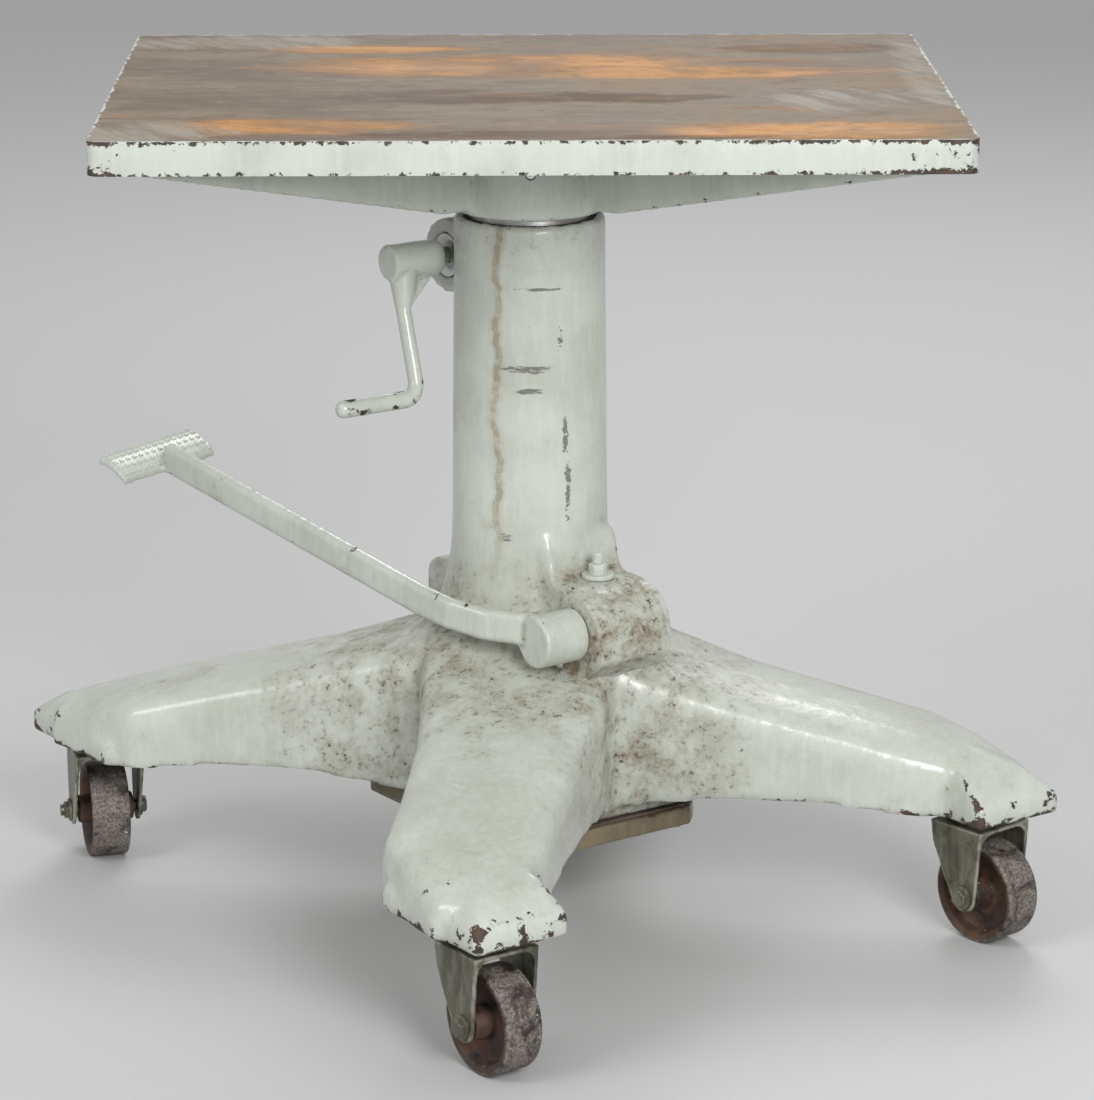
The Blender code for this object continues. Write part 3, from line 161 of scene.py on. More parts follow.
def rod(name, radius, first, last, sides=48):
    """A cylinder between two points."""
    first, last = Vector(first), Vector(last)
    along = last - first
    return settle(start(bpy.ops.mesh.primitive_cylinder_add, name, vertices=sides, radius=radius,
                        depth=along.length, location=(first + last) / 2,
                        rotation=along.to_track_quat("Z", "Y").to_euler()))


print("helpers ready")

# %% [markdown]
# ## Helpers for castings
#
# Iron poured in sand has no sharp edge anywhere: inside corners are filled and outside corners are
# worn round. A bevel on every edge would be slow work where legs, column and lugs meet. A voxel remesh
# does it at once: it wraps the shape in an even skin, and a few rounds of smoothing melt the corners.
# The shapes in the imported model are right, so a casting begins as a merged copy of its CAD part.
#
# `mark_ridges` then measures how much each point stands out from its neighbours. Paint chips on ridges
# and dirt stays in hollows, so the finishes read that number later.

# %% Casting helpers
RIDGE_UNIT = 5 * MM   # a ridge of 1 is a surface bent to this radius


def copy_of(node):
    """A merged copy of a CAD part's mesh, with flat faces made whole again."""
    source = frame["nodes"][node]
    piece = bpy.data.objects.new(node + "_piece", source.data.copy())
    bpy.context.scene.collection.objects.link(piece)
    piece.matrix_world = source.matrix_world.copy()
    piece.data.materials.clear()
    settle(piece)
    choose(piece, lambda vert: True, "VERT")
    bpy.ops.mesh.remove_doubles(threshold=0.00002)
    bpy.ops.mesh.dissolve_limited(angle_limit=math.radians(0.5))
    close()
    return piece


def soften(piece, voxel, rounds):
    """Wrap a shape in an even skin and melt its corners."""
    apply(piece, "REMESH", mode="VOXEL", voxel_size=voxel)
    if rounds:
        apply(piece, "SMOOTH", factor=0.5, iterations=rounds)
    pick(piece)
    bpy.ops.object.shade_smooth()
    return piece


def mark_ridges(piece, blur=2):
    """Store how sharply the surface bends as `ridge`: above 0 on edges, below 0 in corners."""
    mesh = piece.data
    spots = np.empty(len(mesh.vertices) * 3)
    normals = np.empty(len(mesh.vertices) * 3)
    pairs = np.empty(len(mesh.edges) * 2, dtype=np.int32)
    mesh.vertices.foreach_get("co", spots)
    mesh.vertices.foreach_get("normal", normals)
    mesh.edges.foreach_get("vertices", pairs)
    spots, normals, pairs = spots.reshape(-1, 3), normals.reshape(-1, 3), pairs.reshape(-1, 2)
    count = np.bincount(pairs.ravel(), minlength=len(spots)).clip(1)

    def around(values):
        total = np.zeros_like(values)
        np.add.at(total, pairs[:, 0], values[pairs[:, 1]])
        np.add.at(total, pairs[:, 1], values[pairs[:, 0]])
        return (total.T / count).T

    step = np.linalg.norm(spots[pairs[:, 0]] - spots[pairs[:, 1]], axis=1).mean()
    ridge = ((spots - around(spots)) * normals).sum(axis=1) * 4 / step ** 2 * RIDGE_UNIT
    for _ in range(blur):
        ridge = (ridge + around(ridge)) / 2
    attribute = mesh.attributes.new("ridge", "FLOAT", "POINT")
    attribute.data.foreach_set("value", ridge.clip(-2, 2).astype(np.float32))
    return piece


def keep(piece, body, slot, finish, *nodes):
    """Hand a finished piece over: its finish, the body it rides on and the CAD parts it stands for."""
    if finish:
        piece.data.materials.clear()
        piece.data.materials.append(finish)
    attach(piece, body)
    if nodes:
        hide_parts(*nodes)
    piece.data.calc_loop_triangles()
    print(piece.name, len(piece.data.loop_triangles), "triangles")
    return piece


print("casting helpers ready")

# %% [markdown]
# ## Helpers for finishes
#
# Every finish is a small graph of nodes on Object coordinates, so a pattern stays put when a part moves.
# The graphs share a few moves: take a noise, turn it into a mask between two levels, lay one colour over
# another by that mask, and raise or lower the surface by it.

# %% Finish helpers
def new_finish(name, roughness=0.5, metallic=0.0):
    finish = bpy.data.materials.new(name)
    finish.use_nodes = True
    shader = finish.node_tree.nodes["Principled BSDF"]
    shader.inputs["Roughness"].default_value = roughness
    shader.inputs["Metallic"].default_value = metallic
    return finish, finish.node_tree, shader


def node(tree, kind, inputs, output=0, **settings):
    """Add a node, feed its inputs with values or sockets, and give back one output."""
    made = tree.nodes.new("ShaderNode" + kind)
    for name, value in settings.items():
        setattr(made, name, value)
    for name, value in inputs.items():
        if isinstance(value, bpy.types.NodeSocket):
            tree.links.new(value, made.inputs[name])
        else:
            made.inputs[name].default_value = value
    return made.outputs[output]


def surface(tree, scale=(1, 1, 1), turn=0.0, shift=(0, 0, 0)):
    """Object coordinates, turned about Z and stretched."""
    spot = node(tree, "TexCoord", {}, output="Object")
    turned = node(tree, "Mapping", {0: spot, 1: shift, 2: (0, 0, turn)})
    return node(tree, "Mapping", {0: turned, 3: scale})


def noise(tree, spot, scale, detail=4.0, rough=0.55, warp=0.0):
    return node(tree, "TexNoise", {"Vector": spot, "Scale": scale, "Detail": detail, "Roughness": rough,
                                   "Distortion": warp})


def level(tree, value, low, high, first=0.0, last=1.0):
    """Carry a value from between low and high to between first and last, eased at both ends."""
    return node(tree, "MapRange", {0: value, 1: low, 2: high, 3: first, 4: last},
                interpolation_type="SMOOTHSTEP")


def sums(tree, kind, one, two=0.0):
    return node(tree, "Math", {0: one, 1: two}, operation=kind)


def plus(tree, one, two):
    return sums(tree, "ADD", one, two)


def minus(tree, one, two):
    return sums(tree, "SUBTRACT", one, two)


def times(tree, one, two):
    return sums(tree, "MULTIPLY", one, two)


def apart(tree, value, centre, half):
    """How far a value lies from a centre, squared: 0 at the centre, 1 at half."""
    return sums(tree, "POWER", sums(tree, "DIVIDE", minus(tree, value, centre), half), 2.0)


def from_axis(tree, x, y):
    """Distance from the column's axis."""
    return sums(tree, "SQRT", plus(tree, times(tree, x, x), times(tree, y, y)))


def over(tree, share, under, top):
    """Lay one colour over another by a mask."""
    return node(tree, "Mix", {0: share, 6: rgba(under), 7: rgba(top)}, output=2, data_type="RGBA")


def rgba(colour):
    return (*colour, 1) if isinstance(colour, tuple) else colour


def relief(tree, height, depth, strength=1.0, normal=None):
    inputs = {"Height": height, "Distance": depth, "Strength": strength}
    if normal:
        inputs["Normal"] = normal
    return node(tree, "Bump", inputs)


def axes(tree, spot):
    split = tree.nodes.new("ShaderNodeSeparateXYZ")
    tree.links.new(spot, split.inputs[0])
    return split.outputs


print("finish helpers ready")

# %% [markdown]
# ## Enamel
#
# The casting, the pedal, the crank and the top's rim share one old coat: pale grey-green gloss put on
# with a brush. Brush marks and sags catch the light, and the brush streaks also carry a painted highlight:
# they are painted lighter. The tone wanders, oily dust lies in the hollows and on the low, flat places,
# and the coat is chipped down to dark iron along the edges and the feet.
# One function makes the coat, and a few numbers set how chipped and how dirty it is. The column has
# marks of its own, an oil run and some scuffs, and these are laid over the coat at named places.

# %% Enamel
ENAMEL_PALE = (0.500, 0.535, 0.480)
ENAMEL_DULL = (0.420, 0.445, 0.390)
GRIME_TAN = (0.175, 0.135, 0.080)
GRIME_DARK = (0.075, 0.056, 0.034)
BARE_IRON = (0.034, 0.026, 0.022)
RUST_BROWN = (0.070, 0.042, 0.028)
PRIMER_GREY = (0.17, 0.17, 0.165)
CHIP_LEVEL = 0.715   # the coat is gone where the patchy noise and the wear together pass this


def enamel(name, chips=0.5, dirt=0.5, marks=None, edge=None, pale=ENAMEL_PALE, dull=ENAMEL_DULL,
           fineness=55.0):
    """Chips and dirt run from 0 to 1. Marks and edge are functions that give a mask in this tree."""
    finish, tree, shader = new_finish(name)
    spot = surface(tree)
    tone = noise(tree, spot, 6.0, 6.0, 0.65)
    colour = over(tree, level(tree, tone, 0.38, 0.66), pale, dull)
    brush_marks_and_sheen = noise(tree, surface(tree, (1, 1, 0.14)), 150.0, 3.0, 0.6)
    # painted highlight: the brush streaks are painted lighter in colour, besides their real bump below
    colour = over(tree, level(tree, brush_marks_and_sheen, 0.42, 0.70, 0.0, 0.30), colour, tuple(c * 1.12 for c in pale))

    ridge = node(tree, "Attribute", {}, output="Fac", attribute_name="ridge")
    film = noise(tree, spot, 14.0, 8.0, 0.70, 0.15)
    specks = noise(tree, spot, 130.0, 6.0, 0.8)
    hollow = level(tree, ridge, -0.04, -0.40)
    dusty = plus(tree, level(tree, film, 0.48, 0.76, 0.0, 0.60 * dirt),
                 times(tree, hollow, 0.9 * dirt))
    if marks:
        colour, dusty = marks(tree, spot, colour, dusty)
    soaked = times(tree, dusty, level(tree, specks, 0.30, 0.62, 0.35, 0.85))
    colour = over(tree, node(tree, "Clamp", {0: soaked}), colour, GRIME_TAN)
    grains = times(tree, level(tree, specks, 0.56, 0.63), level(tree, dusty, 0.05, 0.6))
    colour = over(tree, grains, colour, GRIME_DARK)

    patches = noise(tree, spot, fineness, 8.0, 0.70, 0.25)
    worn = level(tree, ridge, 0.10, 0.60, 0.0, 0.04 + 0.10 * chips)
    if edge:
        worn = plus(tree, worn, edge(tree, spot))
    bite = plus(tree, patches, worn)
    chipped = level(tree, bite, CHIP_LEVEL, CHIP_LEVEL + 0.008)
    rim = level(tree, bite, CHIP_LEVEL - 0.010, CHIP_LEVEL)
    colour = over(tree, times(tree, rim, 0.6), colour, PRIMER_GREY)
    rust = over(tree, level(tree, noise(tree, spot, 70.0, 5.0), 0.42, 0.62), BARE_IRON, RUST_BROWN)
    colour = over(tree, chipped, colour, rust)
    tree.links.new(colour, shader.inputs["Base Color"])

    gloss = level(tree, plus(tree, film, dusty), 0.35, 1.2, 0.19, 0.52)
    tree.links.new(node(tree, "Mix", {0: chipped, 2: gloss, 3: 0.75}), shader.inputs["Roughness"])

    sags = noise(tree, surface(tree, (1, 1, 0.6)), 75.0, 3.0, 0.5)
    bumps = relief(tree, sags, 1.0 * MM, 0.5)
    bumps = relief(tree, brush_marks_and_sheen, 0.30 * MM, 0.5, bumps)
    bumps = relief(tree, minus(tree, 1.0, chipped), 0.4 * MM, 0.8, bumps)
    tree.links.new(bumps, shader.inputs["Normal"])
    return finish


def blot(tree, x, y, centre, half):
    """A soft oval mask on two coordinates: 1 in the middle, 0 outside."""
    aside = apart(tree, x, centre[0], half[0])
    along = apart(tree, y, centre[1], half[1])
    return level(tree, plus(tree, aside, along), 1.3, 0.1)


# %% Marks of the pedestal
OIL_RUN_HEADING = math.radians(209.8)     # where on the column the oil ran down
OIL_RUN_END = 0.33                        # the height at which it fades out
OIL_FILM, OIL_BROWN = (0.33, 0.30, 0.22), (0.235, 0.180, 0.105)
SCUFF_GREY = (0.115, 0.110, 0.100)
SCUFF_RADIUS = 0.075                      # the column's, which turns a half width into an angle
# heading in degrees, height, half width and half height of each scuff on the column
SCUFFS = [(233, 0.573, 0.028, 0.0050), (236, 0.550, 0.019, 0.0035), (246, 0.652, 0.028, 0.0022),
          (262, 0.505, 0.0035, 0.022), (264, 0.448, 0.0035, 0.030), (218, 0.400, 0.010, 0.006),
          (258, 0.60, 0.003, 0.012)]


def column_marks(tree, spot, colour, dusty):
    """The oil run, the scuffs, and the dirt on the legs' roots, round the lugs and on the shoulders."""
    x, y, z = axes(tree, spot)
    around = node(tree, "Math", {0: y, 1: x}, operation="ARCTAN2")
    wobble = noise(tree, surface(tree, (0.0, 0.0, 1.0)), 16.0, 3.0, 0.6)
    drift = times(tree, minus(tree, wobble, 0.5), 0.55)
    heading = OIL_RUN_HEADING - 2 * math.pi
    off = sums(tree, "ABSOLUTE", minus(tree, plus(tree, around, drift), heading))
    broken = level(tree, noise(tree, spot, 70.0, 6.0, 0.75), 0.35, 0.58, 0.35, 1.0)
    on_column = level(tree, z, OIL_RUN_END, 0.46)
    film = times(tree, level(tree, off, 0.13, 0.04, 0.0, 0.40), on_column)
    colour = over(tree, times(tree, film, broken), colour, OIL_FILM)
    run = times(tree, level(tree, off, 0.060, 0.030), on_column)
    colour = over(tree, times(tree, run, times(tree, broken, 0.6)), colour, OIL_BROWN)

    streaks = noise(tree, surface(tree, (0.35, 0.35, 2.2)), 120.0, 6.0, 0.75)
    flecks = noise(tree, spot, 150.0, 5.0, 0.7)
    for degrees, height, wide, tall in SCUFFS:
        angle = math.radians(degrees) - 2 * math.pi
        across = apart(tree, around, angle, wide / SCUFF_RADIUS)
        upward = apart(tree, z, height, tall)
        away = plus(tree, across, upward)
        ragged = streaks if wide > tall else flecks
        scuff = level(tree, plus(tree, away, times(tree, ragged, 7.0)), 4.05, 3.75)
        colour = over(tree, times(tree, scuff, 0.85), colour, SCUFF_GREY)

    reach = from_axis(tree, x, y)
    roots = times(tree, level(tree, reach, 0.34, 0.13), level(tree, z, 0.40, 0.30))
    lug = times(tree, level(tree, sums(tree, "ABSOLUTE", x), 0.085, 0.055),
                times(tree, level(tree, y, -0.075, -0.10), level(tree, z, 0.30, 0.35, 0.25, 1.3)))
    patchy = level(tree, noise(tree, spot, 30.0, 8.0, 0.72, 0.15), 0.36, 0.66, 0.10, 0.90)
    head = times(tree, level(tree, z, 0.64, 0.715), 0.45)
    legs = level(tree, reach, 0.20, 0.40, 0.0, 0.15)
    more = plus(tree, plus(tree, roots, head), plus(tree, times(tree, lug, 0.9), legs))
    return colour, plus(tree, dusty, times(tree, more, patchy))


def low_edges(tree, spot):
    """The feet lose more paint than the rest, most of all on their lower edges and at their tips."""
    x, y, z = axes(tree, spot)
    reach = from_axis(tree, x, y)
    tips = level(tree, reach, 0.36, 0.48, 0.15, 1.0)
    skirt = level(tree, z, 0.200, 0.145, 0.0, 0.115)
    return times(tree, skirt, tips)


def crank_wear(tree, spot):
    """Hands have worn the crank's grip and the bend above it."""
    z = axes(tree, spot)[2]
    return level(tree, z, 0.575, 0.535, 0.0, 0.11)


pedestal_enamel = enamel("pedestal_enamel", chips=0.7, dirt=0.5, marks=column_marks, edge=low_edges)
arm_enamel = enamel("arm_enamel", chips=0.35, dirt=0.75)
crank_enamel = enamel("crank_enamel", chips=0.25, dirt=0.4, edge=crank_wear)
small_enamel = enamel("small_enamel", chips=0.4, dirt=0.5)
print("enamel:", [finish.name for finish in (pedestal_enamel, arm_enamel, crank_enamel, small_enamel)])

# %% [markdown]
# ## Rim enamel and the bare top
#
# The top's rim wears the same enamel, chipped along both edges where loads were slid off. The working
# face is bare iron. Years of oil have turned it brown-grey, wiped lengthways, with bright orange rust
# spreading from the middle, darker burnt patches, and pale scratched corners. The top stands at an
# angle, so both finishes turn their coordinates back to the top's own length and width first.

# %% Finishes of the top
TABLE_TURN = math.radians(-34.4)
TABLE_HEIGHT = frame["record"]["mounts"][0]["pos_m"][2]
TABLE_LENGTH, TABLE_WIDTH = 813 * MM, 641 * MM
PLATE_EDGE = 32 * MM
UNDER_RIM = TABLE_HEIGHT - PLATE_EDGE


def rim_edges(tree, _):
    """Wear along the rim's upper and lower edges, most of it near the corners."""
    x, _, z = axes(tree, surface(tree, turn=-TABLE_TURN))
    upper = level(tree, z, TABLE_HEIGHT - 7 * MM, TABLE_HEIGHT - 1 * MM, 0.0, 0.19)
    lower = level(tree, z, UNDER_RIM + 7 * MM, UNDER_RIM + 1 * MM, 0.0, 0.17)
    ends = level(tree, sums(tree, "ABSOLUTE", x), TABLE_LENGTH / 2 - 0.14, TABLE_LENGTH / 2, 0.0, 0.10)
    right = level(tree, x, 0.10, 0.30, 0.0, 0.035)
    on_rim = level(tree, z, UNDER_RIM - 3 * MM, UNDER_RIM)
    wear = plus(tree, sums(tree, "MAXIMUM", upper, lower), plus(tree, ends, right))
    return times(tree, wear, on_rim)


# place and half sizes, in the top's own length and width, of its rust, its burnt patches and its scratches
RUST_SPOTS = [((-0.04, 0.11), (0.24, 0.085)), ((0.12, 0.07), (0.22, 0.05)), ((0.27, -0.27), (0.17, 0.055)),
              ((-0.22, -0.24), (0.14, 0.05)), ((-0.16, 0.22), (0.12, 0.04))]
BURNT_SPOTS = [((0.20, 0.10), (0.19, 0.06)), ((-0.02, -0.08), (0.22, 0.05)), ((0.30, 0.22), (0.11, 0.05)),
               ((0.05, -0.29), (0.30, 0.03))]
SCRATCHED_SPOTS = [((-0.36, -0.27), (0.12, 0.08)), ((0.39, 0.05), (0.035, 0.30)),
                   ((-0.30, 0.27), (0.16, 0.07)), ((0.30, -0.10), (0.10, 0.09))]


def bare_top():
    finish, tree, shader = new_finish("bare_top")
    spot = surface(tree, turn=-TABLE_TURN)
    x, y = axes(tree, spot)[:2]
    wiped = noise(tree, surface(tree, (0.25, 1, 1), -TABLE_TURN), 15.0, 8.0, 0.65, 0.4)
    colour = over(tree, level(tree, wiped, 0.36, 0.62), (0.125, 0.088, 0.058), (0.235, 0.190, 0.135))

    def gathered(places, ragged, low, high, most=1.0):
        """One mask for a list of patches, with a ragged outline."""
        total = 0.0
        for centre, half in places:
            total = sums(tree, "MAXIMUM", total, blot(tree, x, y, centre, half))
        bent = plus(tree, times(tree, total, 0.30), ragged)
        return level(tree, bent, low, high, 0.0, most)

    blotch = noise(tree, surface(tree, (0.5, 1, 1), -TABLE_TURN), 9.0, 9.0, 0.66, 1.0)
    colour = over(tree, gathered(BURNT_SPOTS, blotch, 0.60, 0.78, 0.85), colour, (0.085, 0.042, 0.020))
    swirl = noise(tree, surface(tree, (0.45, 1, 1), -TABLE_TURN, (0.3, 0.1, 0)), 8.0, 9.0, 0.64, 1.2)
    colour = over(tree, gathered(RUST_SPOTS, swirl, 0.50, 0.72, 0.80), colour, (0.27, 0.135, 0.045))
    colour = over(tree, gathered(RUST_SPOTS, swirl, 0.66, 0.90, 0.90), colour, (0.56, 0.255, 0.060))
    mottled = noise(tree, surface(tree, (0.6, 1, 1), -TABLE_TURN), 60.0, 7.0, 0.75)
    colour = over(tree, level(tree, mottled, 0.48, 0.68, 0.0, 0.55), colour, (0.105, 0.070, 0.042))
    colour = over(tree, level(tree, mottled, 0.48, 0.30, 0.0, 0.35), colour, (0.30, 0.265, 0.205))
    scratched = noise(tree, surface(tree, (1, 0.16, 1), -TABLE_TURN - 0.5), 34.0, 9.0, 0.78, 0.2)
    colour = over(tree, gathered(SCRATCHED_SPOTS, scratched, 0.66, 0.90, 0.60), colour, (0.36, 0.345, 0.30))
    fine = noise(tree, surface(tree, (0.05, 1, 1), -TABLE_TURN), 420.0, 3.0, 0.7)
    colour = over(tree, level(tree, fine, 0.54, 0.72, 0.0, 0.30), colour, (0.36, 0.31, 0.24))
    ends = level(tree, sums(tree, "ABSOLUTE", x), TABLE_LENGTH / 2 - 8 * MM, TABLE_LENGTH / 2)
    sides = level(tree, sums(tree, "ABSOLUTE", y), TABLE_WIDTH / 2 - 8 * MM, TABLE_WIDTH / 2)
    edges = times(tree, sums(tree, "MAXIMUM", ends, sides), 0.40)
    flaked = level(tree, plus(tree, noise(tree, spot, 45.0, 8.0, 0.75), edges), 0.84, 0.86)
    colour = over(tree, flaked, colour, ENAMEL_PALE)
    tree.links.new(colour, shader.inputs["Base Color"])
    tree.links.new(level(tree, wiped, 0.3, 0.7, 0.55, 0.75), shader.inputs["Roughness"])
    shader.inputs["Specular IOR Level"].default_value = 0.25
    dents = relief(tree, noise(tree, spot, 55.0, 5.0, 0.6), 0.5 * MM, 0.4)
    tree.links.new(relief(tree, fine, 0.15 * MM, 0.5, dents), shader.inputs["Normal"])
    return finish


top_enamel = enamel("top_enamel", chips=0.5, dirt=0.25, edge=rim_edges, fineness=105.0)
top_iron = bare_top()
print("top finishes:", top_enamel.name, top_iron.name)

# %% [markdown]
# ## Iron, steel and the small finishes
#
# The wheels are rusted cast iron whose treads are ground to grey-tan and speckled by grit. The forks
# are pressed steel with a thin olive-grey film. The inner parts are turned steel and bronze: they show
# only when the ram is up or from below, but each still has its own grain.

# %% Finishes of the metal parts
def rusty_iron():
    finish, tree, shader = new_finish("rusty_iron", metallic=0.2)
    spot = surface(tree)
    blotch = noise(tree, spot, 45.0, 8.0, 0.7, 0.5)
    colour = over(tree, level(tree, blotch, 0.38, 0.64), (0.024, 0.017, 0.014), (0.105, 0.052, 0.030))
    ground = node(tree, "Attribute", {}, output="Fac", attribute_name="ground")
    grit = noise(tree, spot, 380.0, 5.0, 0.8)
    tread = over(tree, level(tree, grit, 0.36, 0.66), (0.070, 0.052, 0.042), (0.300, 0.280, 0.255))
    ragged = times(tree, ground, level(tree, blotch, 0.36, 0.56))
    colour = over(tree, times(tree, ragged, 0.90), colour, tread)
    flecks = level(tree, noise(tree, spot, 150.0, 2.0, 0.5), 0.735, 0.75)
    colour = over(tree, flecks, colour, (0.62, 0.58, 0.50))
    tree.links.new(colour, shader.inputs["Base Color"])
    tree.links.new(level(tree, blotch, 0.3, 0.7, 0.45, 0.75), shader.inputs["Roughness"])
    pits = relief(tree, grit, 0.4 * MM, 0.6)
    tree.links.new(relief(tree, blotch, 0.8 * MM, 0.5, pits), shader.inputs["Normal"])
    return finish


def fork_film():
    finish, tree, shader = new_finish("fork_film", metallic=0.55)
    spot = surface(tree)
    film = noise(tree, surface(tree, (1, 1, 0.3)), 60.0, 7.0, 0.65, 0.4)
    colour = over(tree, level(tree, film, 0.35, 0.65), (0.085, 0.081, 0.060), (0.215, 0.210, 0.160))
    ridge = node(tree, "Attribute", {}, output="Fac", attribute_name="ridge")
    bright = times(tree, level(tree, ridge, 0.3, 1.0), level(tree, film, 0.4, 0.6))
    colour = over(tree, times(tree, bright, 0.7), colour, (0.45, 0.43, 0.36))
    rust = level(tree, noise(tree, spot, 38.0, 8.0, 0.75, 0.4), 0.56, 0.68, 0.0, 0.8)
    colour = over(tree, rust, colour, (0.10, 0.052, 0.030))
    splash = level(tree, noise(tree, surface(tree, (1, 1, 0.4)), 30.0, 3.0, 0.5), 0.70, 0.71)
    colour = over(tree, splash, colour, ENAMEL_PALE)
    tree.links.new(colour, shader.inputs["Base Color"])
    tree.links.new(level(tree, film, 0.3, 0.7, 0.34, 0.55), shader.inputs["Roughness"])
    tree.links.new(relief(tree, film, 0.3 * MM, 0.5), shader.inputs["Normal"])
    return finish


def turned_metal(name, light, dark, roughness, metallic=1.0, grain=(1, 1, 40)):
    """Metal or packing with fine rings or grain and a darker film of oil."""
    finish, tree, shader = new_finish(name, roughness, metallic)
    rings = noise(tree, surface(tree, grain), 25.0, 4.0, 0.6)
    film = noise(tree, surface(tree), 30.0, 6.0, 0.65)
    colour = over(tree, level(tree, rings, 0.35, 0.65), light, tuple(c * 0.8 for c in light))
    colour = over(tree, level(tree, film, 0.45, 0.75, 0.0, 0.7), colour, dark)
    tree.links.new(colour, shader.inputs["Base Color"])
    tree.links.new(level(tree, film, 0.35, 0.7, roughness, roughness + 0.25), shader.inputs["Roughness"])
    tree.links.new(relief(tree, rings, 0.1 * MM, 0.4), shader.inputs["Normal"])
    return finish


wheel_iron = rusty_iron()
fork_steel = fork_film()
bright_steel = turned_metal("bright_steel", (0.60, 0.60, 0.59), (0.30, 0.27, 0.22), 0.22)
bronze = turned_metal("bronze", (0.58, 0.40, 0.20), (0.22, 0.15, 0.08), 0.32)
packing = turned_metal("packing", (0.10, 0.075, 0.055), (0.04, 0.03, 0.025), 0.6, 0.0, (1, 1, 1))
gasket_card = turned_metal("gasket_card", (0.13, 0.105, 0.08), (0.05, 0.04, 0.03), 0.75, 0.0, (1, 1, 6))
cover_paint = enamel("cover_paint", chips=0.9, dirt=1.2, pale=(0.20, 0.165, 0.100),
                     dull=(0.085, 0.066, 0.042))
FINISHES = {"enamel": arm_enamel, "worn_top": top_iron, "wheel_iron": wheel_iron, "fork_steel": fork_steel,
            "bright_steel": bright_steel, "cover_paint": cover_paint, "bronze": bronze, "packing": packing,
            "gasket_card": gasket_card}
print(len(FINISHES), "finishes by slot")

# %% [markdown]
# ## Pedestal
#
# Four hollow legs, the flared column, the oil well, the lug round the pedal's shaft, the small one at the
# back, and the boss of the ram lock: all one casting. It is softened as a whole. The lug round the
# shaft has crisper faces than the rest, so a cube with bevelled edges is joined on in its place. The
# machined holes are cut again last, because a bored hole keeps its sharp edge.

# %% Pedestal casting
COLUMN_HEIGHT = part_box("pedestal")[1].z
RAM_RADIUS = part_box("ram")[1].x
SHAFT = [(low + high) / 2 for low, high in zip(*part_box("pedal_shaft"))]
LOCK = [(low + high) / 2 for low, high in zip(*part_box("lock_screw"))]

PEDESTAL_SKIN = 4.9 * MM   # as coarse as still looks smooth: a finer skin has too many triangles

pedestal = soften(copy_of("pedestal"), PEDESTAL_SKIN, 4)
mark_ridges(pedestal)

# %% Crisp lug round the pedal's shaft
LUG_LEFT, LUG_RIGHT, LUG_NOSE, LUG_TOE = -36 * MM, 53 * MM, 40 * MM, 32 * MM
LUG_ROOT, LUG_LOW = SHAFT[1] + 52 * MM, SHAFT[2] - 55 * MM
lug_low = Vector((LUG_LEFT, SHAFT[1] - LUG_NOSE, LUG_LOW))
lug_high = Vector((LUG_RIGHT, LUG_ROOT, SHAFT[2] + LUG_NOSE))
lug = settle(start(bpy.ops.mesh.primitive_cube_add, "shaft_lug", size=1, location=(lug_low + lug_high) / 2,
                   scale=lug_high - lug_low))
for height, reach_back, steps in ((lug_high.z, LUG_NOSE, 14), (lug_low.z, LUG_TOE, 1)):
    choose(lug, lambda edge: all(abs(vert.co.y - lug_low.y) < MM and abs(vert.co.z - height) < MM
                                 for vert in edge.verts), "EDGE")
    bpy.ops.mesh.bevel(offset=reach_back, segments=steps)
    close()
apply(lug, "BEVEL", width=3.5 * MM, segments=4, limit_method="ANGLE", angle_limit=math.radians(30))
apply(pedestal, "BOOLEAN", operation="UNION", solver="EXACT", object=lug)
bpy.data.objects.remove(lug, do_unlink=True)
print("lug", [round(side / MM) for side in lug_high - lug_low], "mm")

# %% Bores of the pedestal
cut(pedestal,
    rod("column_bore", RAM_RADIUS + 4.7 * MM, (0, 0, 0.60), (0, 0, COLUMN_HEIGHT + 0.02), 96),
    rod("cotter_bore", 22.4 * MM, (-0.07, LOCK[1], LOCK[2]), (0.07, LOCK[1], LOCK[2])),
    rod("shaft_bore", 16.4 * MM, (-0.05, SHAFT[1], SHAFT[2]), (0.07, SHAFT[1], SHAFT[2])))
smooth(pedestal, 50)
keep(pedestal, "pedestal_frame", "enamel", pedestal_enamel, "pedestal")

# %% [markdown]
# ## Tabletop
#
# The top is a plate with a deep rim, hollow below, on a hub and four diagonal ribs. The plate is flat
# and crisp, so it is modelled as by hand: a cube with bevelled corners, its underside inset by the rim's
# width and pushed up. The hub and ribs are a soft casting, so they are built from a cylinder and four
# wedges, wrapped and smoothed, and bored for the ram. Both are turned to the top's angle at the end.

# %% Plate
PLATE_WEB, RIM_WIDTH, PLATE_CORNER = 14 * MM, 18 * MM, 12 * MM

plate = settle(start(bpy.ops.mesh.primitive_cube_add, "table_plate", size=1,
                     location=(0, 0, TABLE_HEIGHT - PLATE_EDGE / 2),
                     scale=(TABLE_LENGTH, TABLE_WIDTH, PLATE_EDGE)))
choose(plate, lambda edge: abs((edge.verts[0].co - edge.verts[1].co).normalized().z) > 0.9, "EDGE")
bpy.ops.mesh.bevel(offset=PLATE_CORNER, segments=6)
close()
choose(plate, lambda face: face.normal.z < -0.9)
bpy.ops.mesh.inset(thickness=RIM_WIDTH)
bpy.ops.mesh.extrude_region_move(TRANSFORM_OT_translate={"value": (0, 0, PLATE_EDGE - PLATE_WEB)})
close()
apply(plate, "BEVEL", width=1.4 * MM, segments=3, limit_method="ANGLE", angle_limit=math.radians(40))
plate.rotation_euler.z = TABLE_TURN
settle(plate)
plate.data.materials.append(top_enamel)
plate.data.materials.append(top_iron)
for face in plate.data.polygons:
    if face.normal.z > 0.6:
        face.material_index = 1
smooth(plate, 40)
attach(plate, "table")
print("plate", [round(side / MM) for side in plate.dimensions], "mm across its own box")

